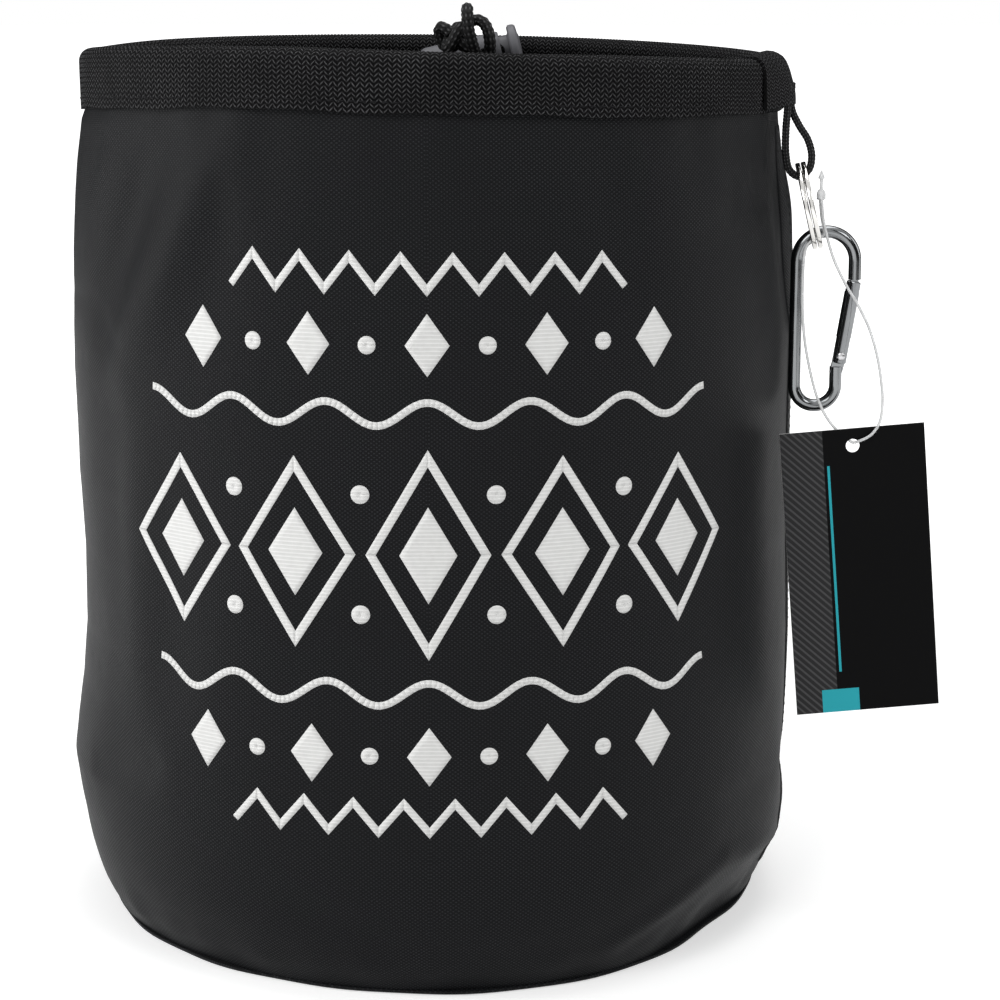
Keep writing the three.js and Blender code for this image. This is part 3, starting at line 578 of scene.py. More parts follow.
CAMERA_PLACE = (0.0210, -0.839, 0.3103)
CAMERA_PITCH = 11.99
CAMERA_LENS = 91.2


def make_camera():
    lens = bpy.data.cameras.new("camera")
    lens.sensor_width = 36
    lens.lens = CAMERA_LENS
    lens.clip_start = 0.01
    camera = bpy.data.objects.new("camera", lens)
    camera.location = CAMERA_PLACE
    camera.rotation_euler = (math.radians(90 - CAMERA_PITCH), 0, 0)
    bpy.context.scene.collection.objects.link(camera)
    bpy.context.scene.camera = camera


def area_light(name, place, target, size, power):
    lamp = bpy.data.lights.new(name, "AREA")
    lamp.shape = "RECTANGLE"
    lamp.size, lamp.size_y = size
    lamp.energy = power
    light = bpy.data.objects.new(name, lamp)
    light.location = place
    light.rotation_euler = (Vector(target) - Vector(place)).to_track_quat("-Z", "Y").to_euler()
    bpy.context.scene.collection.objects.link(light)


def white_to_the_eye(tree, strength):
    """The second strength for what the camera, a mirror or glass sees, for a white background."""
    path = tree.nodes.new("ShaderNodeLightPath")
    total = path.outputs["Is Camera Ray"]
    for name in ("Is Glossy Ray", "Is Transmission Ray"):
        step = tree.nodes.new("ShaderNodeMath")
        step.operation = "MAXIMUM"
        tree.links.new(total, step.inputs[0])
        tree.links.new(path.outputs[name], step.inputs[1])
        total = step.outputs[0]
    level = tree.nodes.new("ShaderNodeMapRange")
    tree.links.new(total, level.inputs["Value"])
    level.inputs["To Min"].default_value, level.inputs["To Max"].default_value = strength
    return level.outputs["Result"]


def make_world():
    world = bpy.data.worlds.new("studio")
    bpy.context.scene.world = world
    world.use_nodes = True
    sky = world.node_tree.nodes["Background"]
    sky.inputs["Color"].default_value = (1, 1, 1, 1)
    world.node_tree.links.new(white_to_the_eye(world.node_tree, (0.43, 1.0)), sky.inputs["Strength"])


def dark_card(name, azimuth):
    """A dark card that only shows in reflections, so that bright metal has dark bands."""
    distance, width, height = 1.5, 1.7, 1.8
    across = Vector(around(azimuth + 90, width / 2, 0))
    middle = Vector(around(azimuth, distance, 0))
    corners = [middle - across, middle + across, middle + across, middle - across]
    for corner in corners[2:]:
        corner.z = height
    card_piece = new_object(name, corners, [(0, 1, 2, 3)], dark_finish())
    for ray in ("camera", "diffuse", "shadow", "transmission"):
        setattr(card_piece, f"visible_{ray}", False)


def dark_finish():
    s = Shader("card_dark", Specular_IOR_Level=0.0, Roughness=1.0)
    s.feed("Base Color", s.blend(s.noise(s.coordinates(), 5, 2), (0.01, 0.01, 0.01), (0.02, 0.02, 0.02)))
    return s.material


def make_floor():
    half, drop = 12, -0.0002
    corners = [(x, y, drop) for x, y in box_outline((-half, -half), (half, half))]
    new_object("floor", corners, [(0, 1, 2, 3)], floor_finish())


def floor_finish():
    s = Shader("floor_white", Specular_IOR_Level=0.0, Roughness=1.0)
    s.feed("Base Color", s.blend(s.noise(s.coordinates(), 3, 2), (0.80, 0.80, 0.80), (0.82, 0.82, 0.82)))
    s.out.inputs["Emission Color"].default_value = (1, 1, 1, 1)
    reach = s.node("ShaderNodeVectorMath", {0: s.coordinates()}, operation="LENGTH").outputs["Value"]
    glow = s.node("ShaderNodeMapRange", {"Value": reach, "From Min": 0.35, "From Max": 1.1, "To Min": 0.42})
    seen = white_to_the_eye(s.tree, (0.0, 1.0))
    s.feed("Emission Strength", s.times(seen, glow.outputs["Result"]))
    return s.material


make_camera()
make_world()
area_light("key", (-0.7, -1.2, 1.1), (0, 0, 0.15), (0.8, 0.8), 9)
area_light("fill", (1.0, -1.0, 1.0), (0, 0, 0.15), (0.6, 0.6), 5)
area_light("side_left", (-1.3, -0.15, 0.45), (0, 0, 0.2), (0.3, 0.8), 9)
area_light("side_right", (1.3, -0.1, 0.6), (0, 0, 0.2), (0.3, 0.8), 2)
area_light("top", (0.1, 0.2, 1.5), (0, 0, 0.2), (1.0, 1.0), 9)
make_floor()
for azimuth in (-150, -50, 50, 150):
    dark_card(f"card_{azimuth % 360}", azimuth)


# Cords

def braided(turns, run):
    """Relief of a round braid: diamonds of crossing strands, run counted in radii."""
    ring, climb = BRAID_STRANDS * turns, run / BRAID_PITCH
    return 0.12 * np.sin(2 * np.pi * (ring + climb)) * np.sin(2 * np.pi * (ring - climb))


def route(points, place, step):
    return spline([place + np.array(point) for point in points], step)


tails = []
for side, points in (("left", TAIL_LEFT_ROUTE), ("right", TAIL_RIGHT_ROUTE)):
    line = route(points, LOCK_PLACE, 0.0004)
    tail = tube(f"cord_tail_{side}", line, DRAWCORD / 2, braid, 36, braided)
    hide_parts(f"drawcord_tail_{side}")
    tails.append((tail, line))

knot_turn = np.linspace(0, 2 * np.pi, 161)[:-4]
knot_reach = (KNOT_SIZE - DRAWCORD) / 2
knot_line = LOCK_PLACE + KNOT_PLACE + np.stack((
    knot_reach[0] * (np.sin(knot_turn) + 2 * np.sin(2 * knot_turn)) / 2.5,
    knot_reach[1] * (np.cos(knot_turn) - 2 * np.cos(2 * knot_turn)) / 2.8,
    knot_reach[2] * -np.sin(3 * knot_turn),
), axis=1)
knot = tube("cord_knot", knot_line, DRAWCORD / 2, braid, 30, braided)
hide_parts("drawcord_knot")

loop_line = route(LOOP_ROUTE, HANG_PLACE, 0.0004)
loop = tube("hanging_loop", loop_line, LOOP_CORD / 2, braid, 30, braided)
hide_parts("hang_loop")

strand_line = route(STRAND_ROUTE, RING_FLOOR, 0.0008)
strand = tube("tag_strand", strand_line, TAG_STRAND / 2, nylon, 14)
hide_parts("tag_loop")

strand_head = lathe(
    "tag_strand_head",
    [
        (0, 0.0011), (0.0003, 0.0014), (0.002, 0.0014), (0.003, 0.0009), (0.0034, 0.00045),
        (0.0064, 0.00045), (0.0066, 0.00105), (0.0072, 0.0009), (0.0088, 0.0003), (0.0092, 0.00008),
    ],
    nylon,
    RING_FLOOR + (np.array(STRAND_ROUTE[0]) + np.array(STRAND_ROUTE[-1])) / 2 + np.array((0, 0, 0.0003)),
    Matrix.Identity(3),
    24,
)
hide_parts("tag_loop_head")

for piece, line in tails:
    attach(piece, "bag")
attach(knot, "bag")
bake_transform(loop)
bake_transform(strand)
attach(strand_head, "ring")


# Bag wall

COLUMNS = 168
ROWS = 76
CLOTH = 0.0012
# Height above the base, then how far the cloth stands out beyond its round profile, in millimetres
LEFT_BULGE = millimetres(
    (0, 0), (14.5, 0.6), (33, 1.8), (51, 3.5), (77.5, 0.2), (95.5, -0.9), (121.5, -0.3), (148, 1.6),
    (180, 1.9), (207, 1.2), (232, 2.2), (250, 3.1), (263, 1.8), (268, 0),
)
RIGHT_BULGE = millimetres(
    (0, 0), (14.5, -0.8), (33, -1.4), (51, -2.6), (95, -1), (150, -0.7), (207, -1), (235, 0.4),
    (250, 0),
)
SIDE_SPREAD = 42
# Soft folds: start and end as degrees round the bag and height, half width in metres, rise in metres
FOLDS = [
    ((-45, 0.258), (-60, 0.205), 0.011, -0.0042),
    ((-33, 0.250), (-52, 0.190), 0.011, 0.0028),
    ((30, 0.246), (54, 0.242), 0.006, 0.0010),
    ((34, 0.232), (60, 0.229), 0.008, -0.0010),
    ((56, 0.240), (68, 0.226), 0.005, 0.0011),
    ((62, 0.255), (64, 0.236), 0.004, -0.0009),
    ((85, 0.255), (86, 0.222), 0.014, 0.0018),
    ((-50, 0.200), (-49, 0.070), 0.011, 0.0013),
    ((-49, 0.066), (-66, 0.052), 0.008, -0.0013),
    ((27, 0.010), (52, 0.031), 0.004, 0.0012),
    ((52, 0.031), (82, 0.022), 0.004, 0.0014),
    ((38, 0.004), (76, 0.010), 0.010, -0.0014),
    ((-28, 0.030), (-4, 0.022), 0.009, -0.0010),
    ((112, 0.230), (136, 0.180), 0.010, -0.0018),
    ((150, 0.150), (172, 0.090), 0.012, 0.0014),
    ((-110, 0.140), (-128, 0.090), 0.012, -0.0016),
    ((-150, 0.220), (-168, 0.150), 0.011, 0.0015),
]
FRONT_FLATTENING = 0.0018
SETTLE_FRAMES = 18
CLOTH_SETTINGS = {
    "quality": 6, "mass": 0.08, "tension_stiffness": 25, "compression_stiffness": 18,
    "shear_stiffness": 12, "bending_stiffness": 8, "air_damping": 4,
    "use_pressure": True, "uniform_pressure_force": 0.2, "vertex_group_mass": "sewn",
}


def rim_dip(angle):
    """How far the rim leaves its level: it hangs lower at both sides, most on the right at the hook."""
    turn = np.radians(angle)
    return (
        -0.00143 - 0.00215 * np.sin(turn) + 0.0004 * np.cos(turn)
        + 0.0010 * np.cos(2 * turn) - 0.0005 * np.sin(2 * turn)
        + 0.0008 * near_angle(angle, -20, 22) + 0.0009 * near_angle(angle, 30, 28)
        - 0.0018 * near_angle(angle, -90, 25)
    )


def rim_pull(angle):
    """How far the rim is drawn in from its circle."""
    return -0.0012 * near_angle(angle, -90, 40) - 0.0030 * near_angle(angle, 78, 30)


def foot_drop(angle):
    """How much further down the webbing reaches on the left, and less far on the right."""
    return 0.0016 * near_angle(angle, -80, 35) - 0.0013 * near_angle(angle, 75, 25)


def heel_shift(angle, height):
    """The lower edge is pressed in on the right and pushed out on the left."""
    low = 1 - smooth_step(height, 0.004, 0.034)
    return low * (0.0022 * near_angle(angle, -72, 20) - 0.0060 * near_angle(angle, 60, 18))


def near_angle(angle, middle, spread):
    """1 at an angle round the bag, falling off to either side."""
    away = (np.asarray(angle) - middle + 180) % 360 - 180
    return np.exp(-((away / spread) ** 2))


def fold_rise(angle, height, start, end, width, rise):
    """A soft ridge or valley along a line on the wall."""
    across = np.radians((angle - start[0] + 180) % 360 - 180) * RIM_RADIUS
    reach = np.array((math.radians(end[0] - start[0]) * RIM_RADIUS, end[1] - start[1]))
    share = np.clip((across * reach[0] + (height - start[1]) * reach[1]) / reach.dot(reach), 0, 1)
    away = np.hypot(across - share * reach[0], height - start[1] - share * reach[1])
    ends = 0.35 + 0.65 * np.sin(np.pi * np.clip(share, 0.02, 0.98))
    return rise * ends * np.exp(-((away / width) ** 2))


def wall_rest():
    """Rows of points on the outside of the cloth, from the base seam up to the rim."""
    profile = spline(WALL_PROFILE, 0.001)
    run = lengths(profile)
    marks = np.linspace(0, run[-1], ROWS)
    radius = np.interp(marks, run, profile[:, 0])[:, None]
    height = np.interp(marks, run, profile[:, 1])[:, None]
    angle = (np.arange(COLUMNS) * 360 / COLUMNS)[None, :]
    out = radius + np.zeros_like(angle)
    for middle, bulge in ((-90, LEFT_BULGE), (90, RIGHT_BULGE)):
        points = np.array(bulge)
        out += np.interp(height, points[:, 0], points[:, 1]) * near_angle(angle, middle, SIDE_SPREAD)
    body = smooth_step(height, 0.02, 0.07) * (1 - smooth_step(height, 0.20, 0.255))
    out -= FRONT_FLATTENING * body * near_angle(angle, 0, 30)
    for start, end, width, rise in FOLDS:
        out += fold_rise(angle, height, start, end, width, rise)
    gathers = np.sin(np.radians(angle) * 23) * 0.5 + np.sin(np.radians(angle) * 37 + 1.3) * 0.5
    out += 0.0004 * gathers * np.exp(-(((height - band_foot) / 0.016) ** 2)) * (height < band_foot)
    out += 0.0005 * gathers * np.exp(-(((height - 0.008) / 0.008) ** 2)) * smooth_step(height, 0.002, 0.007)
    out += heel_shift(angle, height) + rim_pull(angle) * smooth_step(height, 0.21, band_foot)
    up = height + rim_dip(angle) * smooth_step(height, 0.19, band_foot)
    return turned(np.radians(angle), out, up), marks


def settle(rest, most=0.0025):
    """Let the wall hang as cloth between the rim and the base seam, and keep how it sags."""
    rows, columns, _ = rest.shape
    marks = np.zeros(rows)
    sheet = grid_mesh("wall_settling", rest, cloth, np.zeros(columns + 1), marks)
    held = sheet.vertex_groups.new(name="sewn")
    fixed = [i * columns + j for i in (*range(2), *range(rows - 5, rows)) for j in range(columns)]
    held.add(fixed, 1.0, "REPLACE")
    simulation = sheet.modifiers.new("cloth", "CLOTH")
    settings = simulation.settings
    for name, value in CLOTH_SETTINGS.items():
        setattr(settings, name, value)
    settings.effector_weights.gravity = 0.3
    simulation.collision_settings.use_collision = False
    scene = bpy.context.scene
    simulation.point_cache.frame_start, simulation.point_cache.frame_end = 1, SETTLE_FRAMES
    for step in range(1, SETTLE_FRAMES + 1):
        scene.frame_set(step)
    hung = sheet.evaluated_get(bpy.context.evaluated_depsgraph_get()).to_mesh()
    places = np.empty(len(hung.vertices) * 3)
    hung.vertices.foreach_get("co", places)
    moved = places.reshape(rest.shape) - rest
    scene.frame_set(1)
    bpy.data.objects.remove(sheet)
    far = np.linalg.norm(moved, axis=2, keepdims=True)
    return rest + moved * np.minimum(1, most / np.maximum(far, 1e-9))


def refine(rows):
    """Twice as many points each way, on the same smooth surface."""
    columns = (-np.roll(rows, 1, 1) + 9 * rows + 9 * np.roll(rows, -1, 1) - np.roll(rows, -2, 1)) / 16
    wide = np.stack((rows, columns), axis=2).reshape(rows.shape[0], -1, 3)
    padded = np.concatenate((2 * wide[:1] - wide[1:2], wide, 2 * wide[-1:] - wide[-2:-1]))
    between = (-padded[:-3] + 9 * padded[1:-2] + 9 * padded[2:-1] - padded[3:]) / 16
    fine = np.empty((2 * wide.shape[0] - 1, wide.shape[1], 3))
    fine[::2], fine[1::2] = wide, between
    return fine


def surface_normals(rows):
    around_bag = np.roll(rows, -1, 1) - np.roll(rows, 1, 1)
    return unit(np.cross(around_bag, np.gradient(rows, axis=0)))


rest, wall_marks = wall_rest()
wall_rows = refine(settle(rest))
wall_marks = np.linspace(0, wall_marks[-1], wall_rows.shape[0])
wall_normals = surface_normals(wall_rows)
both_faces = np.concatenate((wall_rows, (wall_rows - CLOTH * wall_normals)[::-1]))
wall = grid_mesh(
    "wall_cloth", both_faces, cloth,
    np.linspace(0, 2 * np.pi * RIM_RADIUS, wall_rows.shape[1] + 1),
    np.concatenate((wall_marks, wall_marks[::-1], wall_marks[:1])),
    wrap=True,
)
mount(wall, "bag", "wall_panel")


def on_wall(across, up, lift):
    """Points on the finished wall from lengths across the front and heights, lifted off it a little."""
    columns = wall_rows.shape[1]
    j = (np.asarray(across) / RIM_RADIUS / (2 * np.pi) * columns) % columns
    heights = wall_rows[:, :, 2].mean(axis=1)
    i = np.clip(np.interp(up, heights, np.arange(len(heights))), 0, len(heights) - 1.001)
    low, left = np.floor(i).astype(int), np.floor(j).astype(int)
    rise, shift = (i - low)[..., None], (j - left)[..., None]
    left, right = left % columns, (left + 1) % columns
    places = 0
    for values, weight in ((wall_rows, 1.0), (wall_normals, lift)):
        lower = values[low, left] * (1 - shift) + values[low, right] * shift
        upper = values[low + 1, left] * (1 - shift) + values[low + 1, right] * shift
        places = places + weight * (lower * (1 - rise) + upper * rise)
    return places


# Base panel and its seam

def make_base():
    edge = BASE_RADIUS + BASE_LIP
    half = BASE_CLOTH / 2
    rings = (0.0, 0.05, 0.09, 0.104)
    sewn = 0.1
    profile = [
        *((ring, 0.0) for ring in rings), (edge - half, 0.0), (edge - 0.3 * half, 0.3 * half),
        (edge, half), (edge - 0.3 * half, 1.7 * half), (edge - half, BASE_CLOTH),
        *((ring, BASE_CLOTH) for ring in reversed(rings)),
    ]
    sides = 180
    turn = np.arange(sides) / sides * 2 * np.pi
    wobble = 1 + 0.004 * np.sin(turn * 7 + 0.6) + 0.003 * np.sin(turn * 17)
    rows = []
    for radius, height in profile:
        share = wobble if radius > sewn else np.ones(sides)
        reach = max(radius, 0.0005) * share
        if radius > sewn:
            reach = reach + heel_shift(np.degrees(turn), height)
        rows.append(turned(turn, reach, height))
    rows = np.array(rows)
    flat = rows[:, :, :2].reshape(-1, 2)
    faces = quads(0, len(profile), sides)
    faces.append(tuple(range(sides)))
    faces.append(tuple(range((len(profile) - 1) * sides, len(profile) * sides)))
    corners = [flat[v] for face in faces for v in face]
    return new_object("base_cloth", rows.reshape(-1, 3), faces, cloth, corners)


base = make_base()
mount(base, "bag", "base_panel")


# Webbing rim

RIM_STEPS = 2200
WEAVE_RELIEF = 0.00013
LAP_STEPS = 30
LAP_POINTS = 30
LAP_REACH = 5
# Sections of the lapped end in millimetres: radius and height, over the loop and where it lies flat
LAP_OUTER = millimetres(
    (120.7, 267.2), (120.7, 272.2), (120.4, 277), (119.6, 282), (117.6, 285.6), (113.6, 287.4),
    (109.6, 286.3), (107.2, 283.4), (106.4, 279.5), (107.4, 275), (108.8, 271.5), (109, 265),
)
LAP_INNER = millimetres(
    (110.2, 265), (110.2, 271.8), (109, 275.4), (108, 279.5), (108.6, 282.6), (110.4, 284.8),
    (113.6, 285.7), (116.6, 284.4), (118, 281.4), (118.8, 276.8), (119.1, 272.2), (119.1, 267.2),
)
LANDED_OUTER = millimetres(
    (116.4, 269), (116.4, 272.8), (116.4, 277), (116.3, 281.5), (115, 284.2), (112, 285.3),
    (109.2, 284.2), (107.9, 282.4), (107.7, 280), (108.3, 276), (110.2, 271.5), (110.3, 265),
)
LANDED_INNER = millimetres(
    (110.9, 265), (110.9, 271.5), (109.2, 276), (108.6, 280), (108.8, 282), (109.8, 283.4),
    (112, 284.4), (114.4, 283.4), (115.4, 281), (115.5, 277), (115.5, 272.8), (115.5, 269),
)


def band_profile():
    """Closed outline of the folded webbing: outer leg, roll, inner leg and back along its inside."""
    inner_roll = ROLL_RADIUS - TAPE
    outer_rise = channel_height - band_foot
    outer_leg = [(RIM_RADIUS, band_foot + share * outer_rise) for share in np.linspace(0, 0.9, 8)]
    inner_rise = band_foot - LEG_TOP
    inner_leg = [(INNER_LEG_INSIDE, LEG_TOP + share * inner_rise) for share in np.linspace(0, 1, 5)]
    return [
        *outer_leg,
        *arc(channel_ring, channel_height, ROLL_RADIUS, 0, 225, 16),
        *inner_leg,
        (INNER_LEG_OUTSIDE, band_foot),
        (INNER_LEG_OUTSIDE, channel_height - inner_roll - 0.0004),
        *arc(channel_ring, channel_height, inner_roll, 270, 0, 12),
        (RIM_RADIUS - TAPE, channel_height - ROLL_RADIUS),
        (RIM_RADIUS - TAPE, band_foot),
    ]


def make_band():
    profile = np.array(band_profile())
    ahead = unit(np.roll(profile, -1, 0) - np.roll(profile, 1, 0))
    outward = np.stack((ahead[:, 1], -ahead[:, 0]), axis=1)
    foot = 1 - smooth_step(profile[:, 1], band_foot, band_foot + 0.012)
    rows = []
    for angle in np.arange(RIM_STEPS) * 360 / RIM_STEPS:
        turn = math.radians(angle)
        wave = 0.0003 * math.sin(turn * 9) + 0.0002 * math.sin(turn * 21 + 2)
        crown = WEAVE_RELIEF * math.cos(2 * math.pi * turn * RIM_RADIUS / WEAVE_COLUMN)
        shape = profile - crown * outward
        radius = shape[:, 0] + rim_pull(angle) + 0.7 * wave * foot
        height = shape[:, 1] + rim_dip(angle) + (wave - foot_drop(angle)) * foot
        rows.append(turned(turn, radius, height))
    across = lengths(np.concatenate((profile, profile[:1])))
    along = np.linspace(0, 2 * np.pi * RIM_RADIUS, RIM_STEPS + 1)
    return grid_mesh("rim_band", np.array(rows), webbing, across, along, wrap=True)


def section(*sides):
    """A closed outline from curves along its sides, each with as many evenly spaced points."""
    outline = []
    for side in sides:
        line = spline(side, 0.001)
        run = lengths(line)
        marks = np.linspace(0, run[-1], LAP_POINTS)
        outline.append(np.stack([np.interp(marks, run, line[:, k]) for k in range(2)], axis=1))
    return np.concatenate(outline)


def make_lap():
    """The end of the webbing, lapped over its start at the seam and standing off it."""
    high = section(LAP_OUTER, LAP_INNER)
    low = section(LANDED_OUTER, LANDED_INNER)
    last = LAP_END + LAP_REACH
    rows = []
    for angle in np.linspace(LAP_START, last, LAP_STEPS):
        share = 1 - float(near_angle(angle, HANG_ANGLE, 7))
        profile = high * (1 - share) + low * share
        foot = 1 - smooth_step(profile[:, 1], band_foot, band_foot + 0.016)
        dip = rim_dip(angle) * (0.95 - 0.85 * foot * (1 - share))
        radius = profile[:, 0] + rim_pull(angle) * (1 - 0.5 * foot * (1 - share))
        rows.append(turned(math.radians(angle), radius, profile[:, 1] + dip))
    across = lengths(np.concatenate((high, high[:1])))
    along = np.linspace(0, math.radians(last - LAP_START) * RIM_RADIUS, LAP_STEPS)
    return grid_mesh("rim_lap", np.array(rows), webbing, across, along, caps=True, sharp=60)


band = make_band()
mount(band, "bag", "rim_webbing")
mount(make_lap(), "bag")


# Stitches

# Along a stitch: share of its length, then lift and width in thicknesses
STITCH_SHAPE = [(0.0, -0.6, 0.5), (0.2, 0.2, 0.9), (0.5, 0.45, 1.0), (0.8, 0.2, 0.9), (1.0, -0.6, 0.5)]
RIM_STITCHES = 228


def stitches(name, places, out, length, thickness):
    """A row of sewn stitches: a short bent thread from each place towards the next."""
    vertices, faces = [], []
    sides = 6
    turns = np.arange(sides) / sides * 2 * np.pi
    for start, following, outward in zip(places, places[1:], out):
        ahead = unit(following - start)
        side = np.cross(outward, ahead)
        first = len(vertices)
        for share, lift, swell in STITCH_SHAPE:
            centre = start + ahead * length * share + outward * thickness * lift
            for t in turns:
                across = math.cos(t) * side + math.sin(t) * outward
                vertices.append(centre + thickness * swell * across / 2)
        faces += quads(first, len(STITCH_SHAPE), sides)
        faces.append(tuple(range(first, first + sides)))
        faces.append(tuple(range(len(vertices) - sides, len(vertices))))
    piece = new_object(name, vertices, faces, thread)
    mount(piece, "bag")


def rim_stitch_row(radius, height):
    angles = np.arange(RIM_STITCHES + 1) * 360 / RIM_STITCHES
    places = [around(a, radius + rim_pull(a), height + rim_dip(a) - 0.8 * foot_drop(a)) for a in angles]
    out = [around(a, 1, 0) for a in angles]
    return places, out


places, out = rim_stitch_row(RIM_RADIUS - 0.00015, band_foot + 0.003)
stitches("rim_stitches", places, out, 0.0024, 0.0005)
places, out = rim_stitch_row(INNER_LEG_INSIDE - 0.00015, band_foot + 0.003)
stitches("rim_stitches_inside", places, [-direction for direction in out], 0.0024, 0.0006)


# Side seam under the lap

SEAM_ANGLE = 80
SEAM_STITCH_ASIDE = 0.0036
SEAM_STITCH_PITCH = 0.0031
# Across the strip and off the wall, in millimetres
SEAM_SECTION = millimetres((-5, 0.1), (-4.6, 0.4), (0, 0.5), (4.6, 0.4), (5, 0.1), (0, -0.6))
seam_across = math.radians(SEAM_ANGLE) * RIM_RADIUS
seam_heights = np.linspace(0.012, 0.262, 84)
seam_rows = []
for up in seam_heights:
    seam_rows.append([on_wall(seam_across + shift, up, lift) for shift, lift in SEAM_SECTION])
seam_width = np.linspace(0, 0.02, len(SEAM_SECTION) + 1)
seam = grid_mesh("side_seam", np.array(seam_rows), cloth, seam_width, seam_heights, caps=True, sharp=50)
mount(seam, "bag")
for name, shift in (("left", -SEAM_STITCH_ASIDE), ("right", SEAM_STITCH_ASIDE)):
    marks = np.arange(0.014, 0.260, SEAM_STITCH_PITCH)
    places = [on_wall(seam_across + shift, up, 0.0002) for up in marks]
    out = [around(SEAM_ANGLE, 1, 0)] * len(marks)
    stitches(f"seam_stitches_{name}", places, out, 0.0023, 0.0004)


# Printed front

INK_LIFT = 0.00012
INK_STEP = 0.002
INK_LINE = 0.0022
PRINT_MIDDLE = 0.140
SMALL_STEP = 0.0175
LARGE_STEP = 0.040


class Ink:
    """Patches of ink laid out flat, in lengths across the front and heights."""

    def __init__(self):
        self.points, self.faces = [], []

    def patch(self, grid):
        rows, columns, _ = grid.shape
        first = len(self.points)
        self.points.extend(grid.reshape(-1, 2))
        for i in range(rows - 1):
            for j in range(columns - 1):
                low, high = first + i * columns + j, first + (i + 1) * columns + j
                self.faces.append((low, low + 1, high + 1, high))

    def quad(self, corners):
        """A four-cornered patch, its corners in turn."""
        a, b, c, d = (np.array(corner) for corner in corners)
        wide = max(np.linalg.norm(b - a), np.linalg.norm(c - d))
        tall = max(np.linalg.norm(d - a), np.linalg.norm(c - b))
        u = np.linspace(0, 1, max(2, math.ceil(wide / INK_STEP) + 1))[None, :, None]
        v = np.linspace(0, 1, max(2, math.ceil(tall / INK_STEP) + 1))[:, None, None]
        self.patch((a * (1 - u) + b * u) * (1 - v) + (d * (1 - u) + c * u) * v)

    def stroke(self, line, width, closed=False):
        """A line of even width with mitred corners."""
        line = np.array(line, float)
        if closed:
            line = np.concatenate((line[-1:], line, line[:2]))
        steps = unit(np.diff(line, axis=0))
        normals = np.stack((-steps[:, 1], steps[:, 0]), axis=1)
        miters = unit(normals[:-1] + normals[1:])
        miters = miters / np.sum(miters * normals[1:], axis=1, keepdims=True)
        if not closed:
            miters = np.concatenate((normals[:1], miters, normals[-1:]))
            corners = line
        else:
            corners = line[1:-1]
        low, high = corners - miters * width / 2, corners + miters * width / 2
        for i in range(len(corners) - 1):
            self.quad((low[i], low[i + 1], high[i + 1], high[i]))

    def rhomb(self, x, z, width, height, line=None):
        """A full rhomb, or only its outline where a line width is given."""
        corners = ((x - width / 2, z), (x, z - height / 2), (x + width / 2, z), (x, z + height / 2))
        if line:
            self.stroke(corners, line, closed=True)
        else:
            self.quad(corners)

    def dot(self, x, z, radius):
        turns = np.linspace(0, 2 * np.pi, 25)
        rings = np.array((0.02, 0.5, 1.0))[:, None, None] * radius
        self.patch(np.array((x, z)) + rings * np.stack((np.cos(turns), np.sin(turns)), axis=1)[None])


def zigzag(half, z, rise, pitch):
    count = round(2 * half / pitch)
    return [(-half + i * pitch, z + (rise / 2 if i % 2 else -rise / 2)) for i in range(count + 1)]


def ripple(half, z, rise, pitch):
    across = np.linspace(-half, half, round(half * 2 / 0.0015))
    return np.stack((across, z + rise / 2 * np.cos(across * 2 * np.pi / pitch)), axis=1)


def make_print():
    """Bands of plain geometric ornament: zigzags, ripples, rhombs and dots."""
    flat = Ink()
    for z in (0.222, 0.060):
        flat.stroke(zigzag(0.060, z, 0.009, 0.0075), INK_LINE)
    for z in (0.182, 0.098):
        flat.stroke(ripple(0.090, z, 0.007, 0.030), INK_LINE)
    for z in (0.202, 0.079):
        for i in range(-4, 5):
            if i % 2:
                flat.dot(i * SMALL_STEP, z, 0.0026)
            else:
                flat.rhomb(i * SMALL_STEP, z, 0.013, 0.018)
    for i in range(-2, 3):
        x = i * LARGE_STEP
        tall = 0.058 - 0.005 * abs(i)
        flat.rhomb(x, PRINT_MIDDLE, 0.034, tall, 0.0026)
        flat.rhomb(x, PRINT_MIDDLE, 0.017, tall * 0.5)
    for i in (-2, -1, 0, 1):
        for z in (0.122, 0.158):
            flat.dot((i + 0.5) * LARGE_STEP, z, 0.0028)
    points = np.array(flat.points)
    corners = [points[v] for face in flat.faces for v in face]
    laid = on_wall(points[:, 0], points[:, 1], INK_LIFT)
    film = new_object("front_print", laid, flat.faces, ink, corners)
    body = film.modifiers.new("ink", "SOLIDIFY")
    body.thickness = 0.0002
    body.offset = -1
    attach(film, "bag")
    return film


make_print()


# Drawcord in the rim

def drawcord_line():
    first = 180 - math.degrees(math.asin((LOCK_PLACE[0] + 0.014) / channel_ring))
    last = -180 - math.degrees(math.asin((LOCK_PLACE[0] - 0.012) / channel_ring))
    channel = []
    for angle in np.linspace(first, last, 65):
        inner = smooth_step(first - angle, 4, 24) * smooth_step(angle - last, 4, 24)
        radius = channel_ring + rim_pull(angle) * inner
        channel.append(around(angle, radius, channel_height + rim_dip(angle) * inner))
    leave = [LOCK_PLACE + np.array(point) for point in reversed(LEAVE_RIGHT_ROUTE)]
    arrive = [LOCK_PLACE + np.array(point) for point in LEAVE_LEFT_ROUTE]
    return spline([*leave, *channel, *arrive], 0.0012)


drawcord = tube("drawcord_in_rim", drawcord_line(), DRAWCORD / 2, braid, 18, braided)
mount(drawcord, "bag", "drawcord")


# Cord lock

lock_turn = Matrix.Rotation(math.radians(90 - LOCK_TILT), 3, "Y")


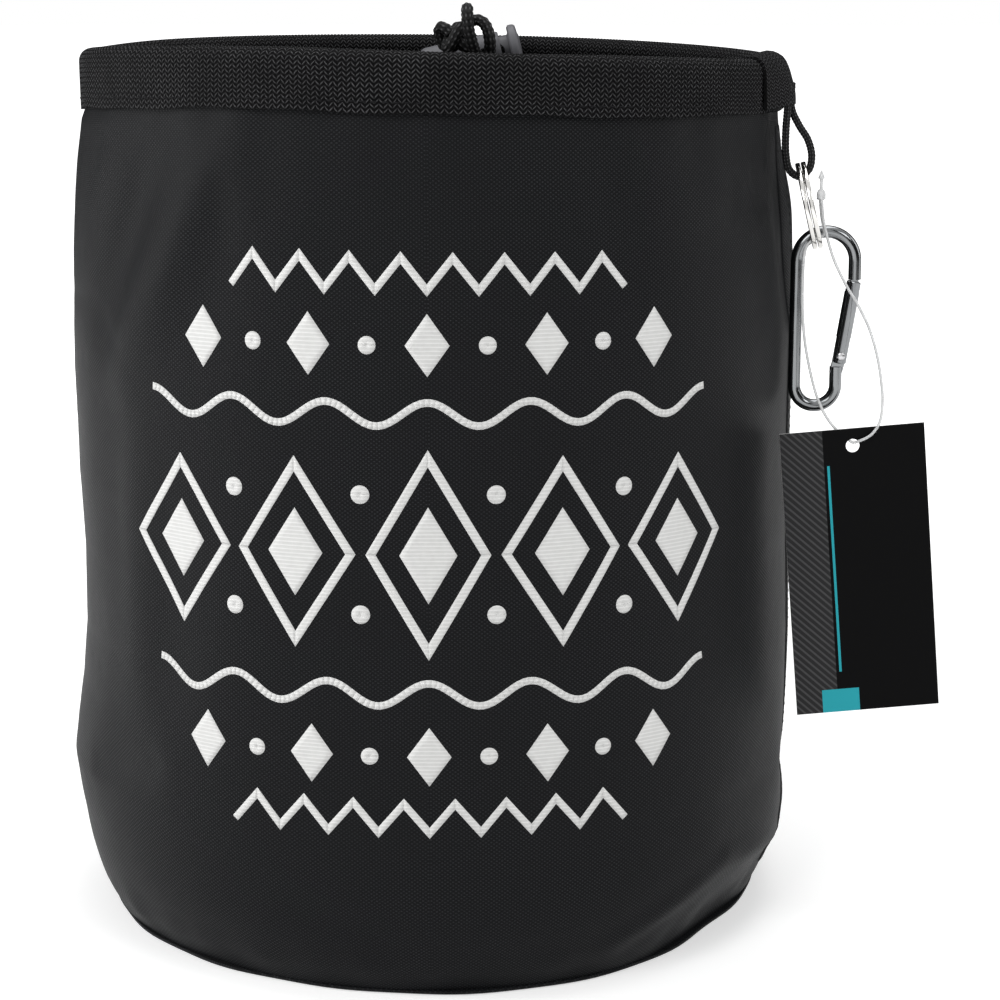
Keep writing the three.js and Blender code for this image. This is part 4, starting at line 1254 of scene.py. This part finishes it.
def cord_slot(length, shift, room):
    """Cutter for the cross hole: an oblong along the lock's length, through it along Y."""
    height = DRAWCORD + room
    half = (length - height) / 2
    outline = [*arc(half, 0, height / 2, -90, 90, 12), *arc(-half, 0, height / 2, 90, 270, 12)]
    cutter = prism("slot", [(x + shift, z) for x, z in outline], 0.04, lock_plastic)
    tilt = Matrix.Rotation(math.radians(-LOCK_TILT), 4, "Y")
    cutter.data.transform(Matrix.Translation(Vector(LOCK_PLACE)) @ tilt)
    return cutter


def make_lock():
    radius, rounding, bore, floor = 0.007, 0.003, 0.0053, -0.0213
    shell = [(-0.023, 0.0008)]
    shell += [(z, r) for r, z in arc(radius - rounding, -0.023 + rounding, rounding, -90, 0, 10)]
    shell += [
        (0.006, radius), (0.0067, radius - 0.0005), (0.0067, bore + 0.0004), (0.0063, bore),
        (floor, bore), (floor, 0.0004),
    ]
    barrel = lathe("lock_barrel", shell, lock_plastic, LOCK_PLACE, lock_turn, 64)
    carve(barrel, [cord_slot(0.0091, 0, 0.0006)])
    mount(barrel, "cord_lock", "lock_body")
    stem, head, seat = 0.005, 0.0082, 0.010
    button_profile = [
        (-0.009, 0.0004), (-0.009, stem - 0.0014), (-0.0076, stem), (seat - 0.0003, stem),
        (seat, stem + 0.0006), (seat, head - 0.0008), (seat + 0.0006, head), (seat + 0.002, head),
    ]
    button_profile += [(z, r) for r, z in arc(head - 0.0014, seat + 0.002, 0.0014, 0, 80, 6)]
    button_profile += [(seat + 0.0036, head - 0.0035), (seat + 0.0039, head / 2), (seat + 0.004, 0.0004)]
    button = lathe("lock_button_cap", button_profile, lock_plastic, LOCK_PLACE, lock_turn, 64)
    carve(button, [cord_slot(0.0130, 0.0015, 0.0014)])
    mount(button, "lock_button", "lock_plunger")


def make_lock_spring():
    """The coil spring in the barrel, at rest."""
    wire, radius, turns, low, high = 0.0009, 0.00455, 6, -0.0206, -0.0098
    share = np.linspace(0, 1, 32 * turns + 1)
    turn = 2 * np.pi * turns * share
    winding = np.stack((radius * np.cos(turn), radius * np.sin(turn), low + (high - low) * share), axis=1)
    line = winding @ np.array(lock_turn).T + LOCK_PLACE
    piece = tube("lock_coil", line, wire / 2, steel, 10)
    mount(piece, "cord_lock", "lock_spring")
    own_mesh(piece)


make_lock()
make_lock_spring()


# Split ring

def make_ring():
    jog_start, jog_end, end, mouth = (math.radians(value) for value in (320, 351, 671, 57))
    half_coil, half_wire, middle, pitch = 0.00078, 0.00085, 0.01315, 0.0018
    corner, steps = 0.0004, 260
    outline = []
    for cx, cy, start in ((1, 1, 0), (-1, 1, 90), (-1, -1, 180), (1, -1, 270)):
        outline += arc(cx * (half_coil - corner), cy * (half_wire - corner), corner, start, start + 90, 4)
    yaw = Matrix.Rotation(math.radians(RING_YAW), 3, "Z")
    lean = yaw @ Matrix.Rotation(-math.radians(RING_LEAN), 3, "Y")
    rows = []
    for turn in np.linspace(0, end, steps):
        side = (float(smooth_step(turn, jog_start, jog_end)) - 0.5) * pitch
        ring = [
            (side + across, (middle + out) * math.cos(turn + mouth), (middle + out) * math.sin(turn + mouth))
            for across, out in outline
        ]
        rows.append([np.array(lean @ Vector(point)) + RING_PLACE for point in ring])
    rows = np.array(rows)
    across = np.linspace(0, 0.006, len(outline) + 1)
    piece = grid_mesh("ring_coils", rows, nickel, across, np.linspace(0, 0.15, steps), caps=True, sharp=60)
    mount(piece, "ring", "split_ring")


make_ring()


# Snap hook

HOOK_ROD = 0.004
TOP_BEND = 0.0092
TAIL_BEND = 0.0066
SPINE = 0.040
NOSE = 0.006
TONGUE = 0.0018
spine_x = -TOP_BEND
tail_x = spine_x + 2 * TAIL_BEND
tail_end = 0.006 - SPINE
rivet_local = RIVET_PLACE - HOOK_PLACE


def hook_line():
    points = [(TOP_BEND, z) for z in np.linspace(-NOSE, 0, 7)[:-1]]
    points += arc(0, 0, TOP_BEND, 0, 180, 48)
    points += [(spine_x, z) for z in np.linspace(0, -SPINE, 24)[1:-1]]
    points += arc(spine_x + TAIL_BEND, -SPINE, TAIL_BEND, 180, 360, 44)
    points += [(tail_x, z) for z in np.linspace(-SPINE, tail_end, 8)[1:]]
    return np.array([HOOK_PLACE + np.array((x, 0, z)) for x, z in points])


def rivet_hole():
    turn = Matrix.Rotation(math.pi / 2, 3, "X")
    return lathe("eye", [(-0.006, 0.0013), (0.006, 0.0013)], gunmetal, RIVET_PLACE, turn, 32)


def at_hook(piece):
    piece.data.transform(Matrix.Translation(Vector(HOOK_PLACE)))
    return piece


def make_hook():
    frame_rod = tube("hook_frame", hook_line(), HOOK_ROD / 2, gunmetal, 40, rounded=False)
    half = HOOK_ROD / 2
    tongue = at_hook(prism("tongue", [
        (tail_x - half, tail_end - TONGUE), (tail_x + half, tail_end - TONGUE),
        *arc(rivet_local[0], rivet_local[2], half, 0, 180, 20),
    ], TONGUE, gunmetal))
    nose_half, nose_reach, nose_root = 0.0012, 0.003, 0.001
    nose_box = box_outline(
        (TOP_BEND - nose_half, -NOSE - nose_reach), (TOP_BEND + nose_half, -NOSE + nose_root),
    )
    nose = at_hook(prism("nose", nose_box, TONGUE, gunmetal))
    carve(frame_rod, [tongue, nose], "UNION")
    carve(frame_rod, [rivet_hole()])
    mount(frame_rod, "snap_hook", "carabiner_body")


def make_gate():
    top = np.array((TOP_BEND, 0, -NOSE)) - rivet_local
    lean = Matrix.Rotation(math.atan2(top[0], top[2]), 3, "Y")
    length = math.hypot(top[0], top[2]) - 0.0006
    radius, bore, edge = 0.0024, 0.0015, 0.0003
    bore_top = length - 0.005
    profile = [
        (-radius, bore), (-radius, radius - edge), (edge - radius, radius), (length - edge, radius),
        (length, radius - edge), (length, 0.0003),
    ]
    profile = [(bore_top, 0.0002), (bore_top, bore), *profile]
    gate = lathe("hook_gate", profile, gunmetal, RIVET_PLACE, lean, 48)
    gap = TONGUE + 0.0006

    def slot_cutter(low, high):
        cutter = prism("slot", box_outline((-0.005, low), (0.005, high)), gap, gunmetal)
        cutter.data.transform(Matrix.Translation(Vector(RIVET_PLACE)) @ lean.to_4x4())
        return cutter

    carve(gate, [slot_cutter(-0.005, 0.006), slot_cutter(length - 0.0036, length + 0.001), rivet_hole()])
    mount(gate, "gate", "carabiner_gate")


def make_rivet():
    half, pin, head, rise = 0.0025, 0.001, 0.0012, 0.0005
    dome = [
        (half, head), (half + 0.4 * rise, head), (half + 0.75 * rise, 0.8 * head),
        (half + rise, 0.35 * head),
    ]
    profile = [(-z, r) for z, r in reversed(dome)] + [(-half, pin), (half, pin)] + dome
    rivet = lathe("hook_rivet", profile, steel, RIVET_PLACE, Matrix.Rotation(math.pi / 2, 3, "X"), 32)
    mount(rivet, "snap_hook", "gate_rivet")


make_hook()
make_gate()
make_rivet()


# Finishes of the CAD nodes that stay

for node, finish in (("gate_spring", steel), ("gate_push_pin", steel), ("swing_tag", card)):
    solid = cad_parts[node]
    solid.data.materials.clear()
    solid.data.materials.append(finish)


bpy.context.scene.view_settings.view_transform = "Standard"
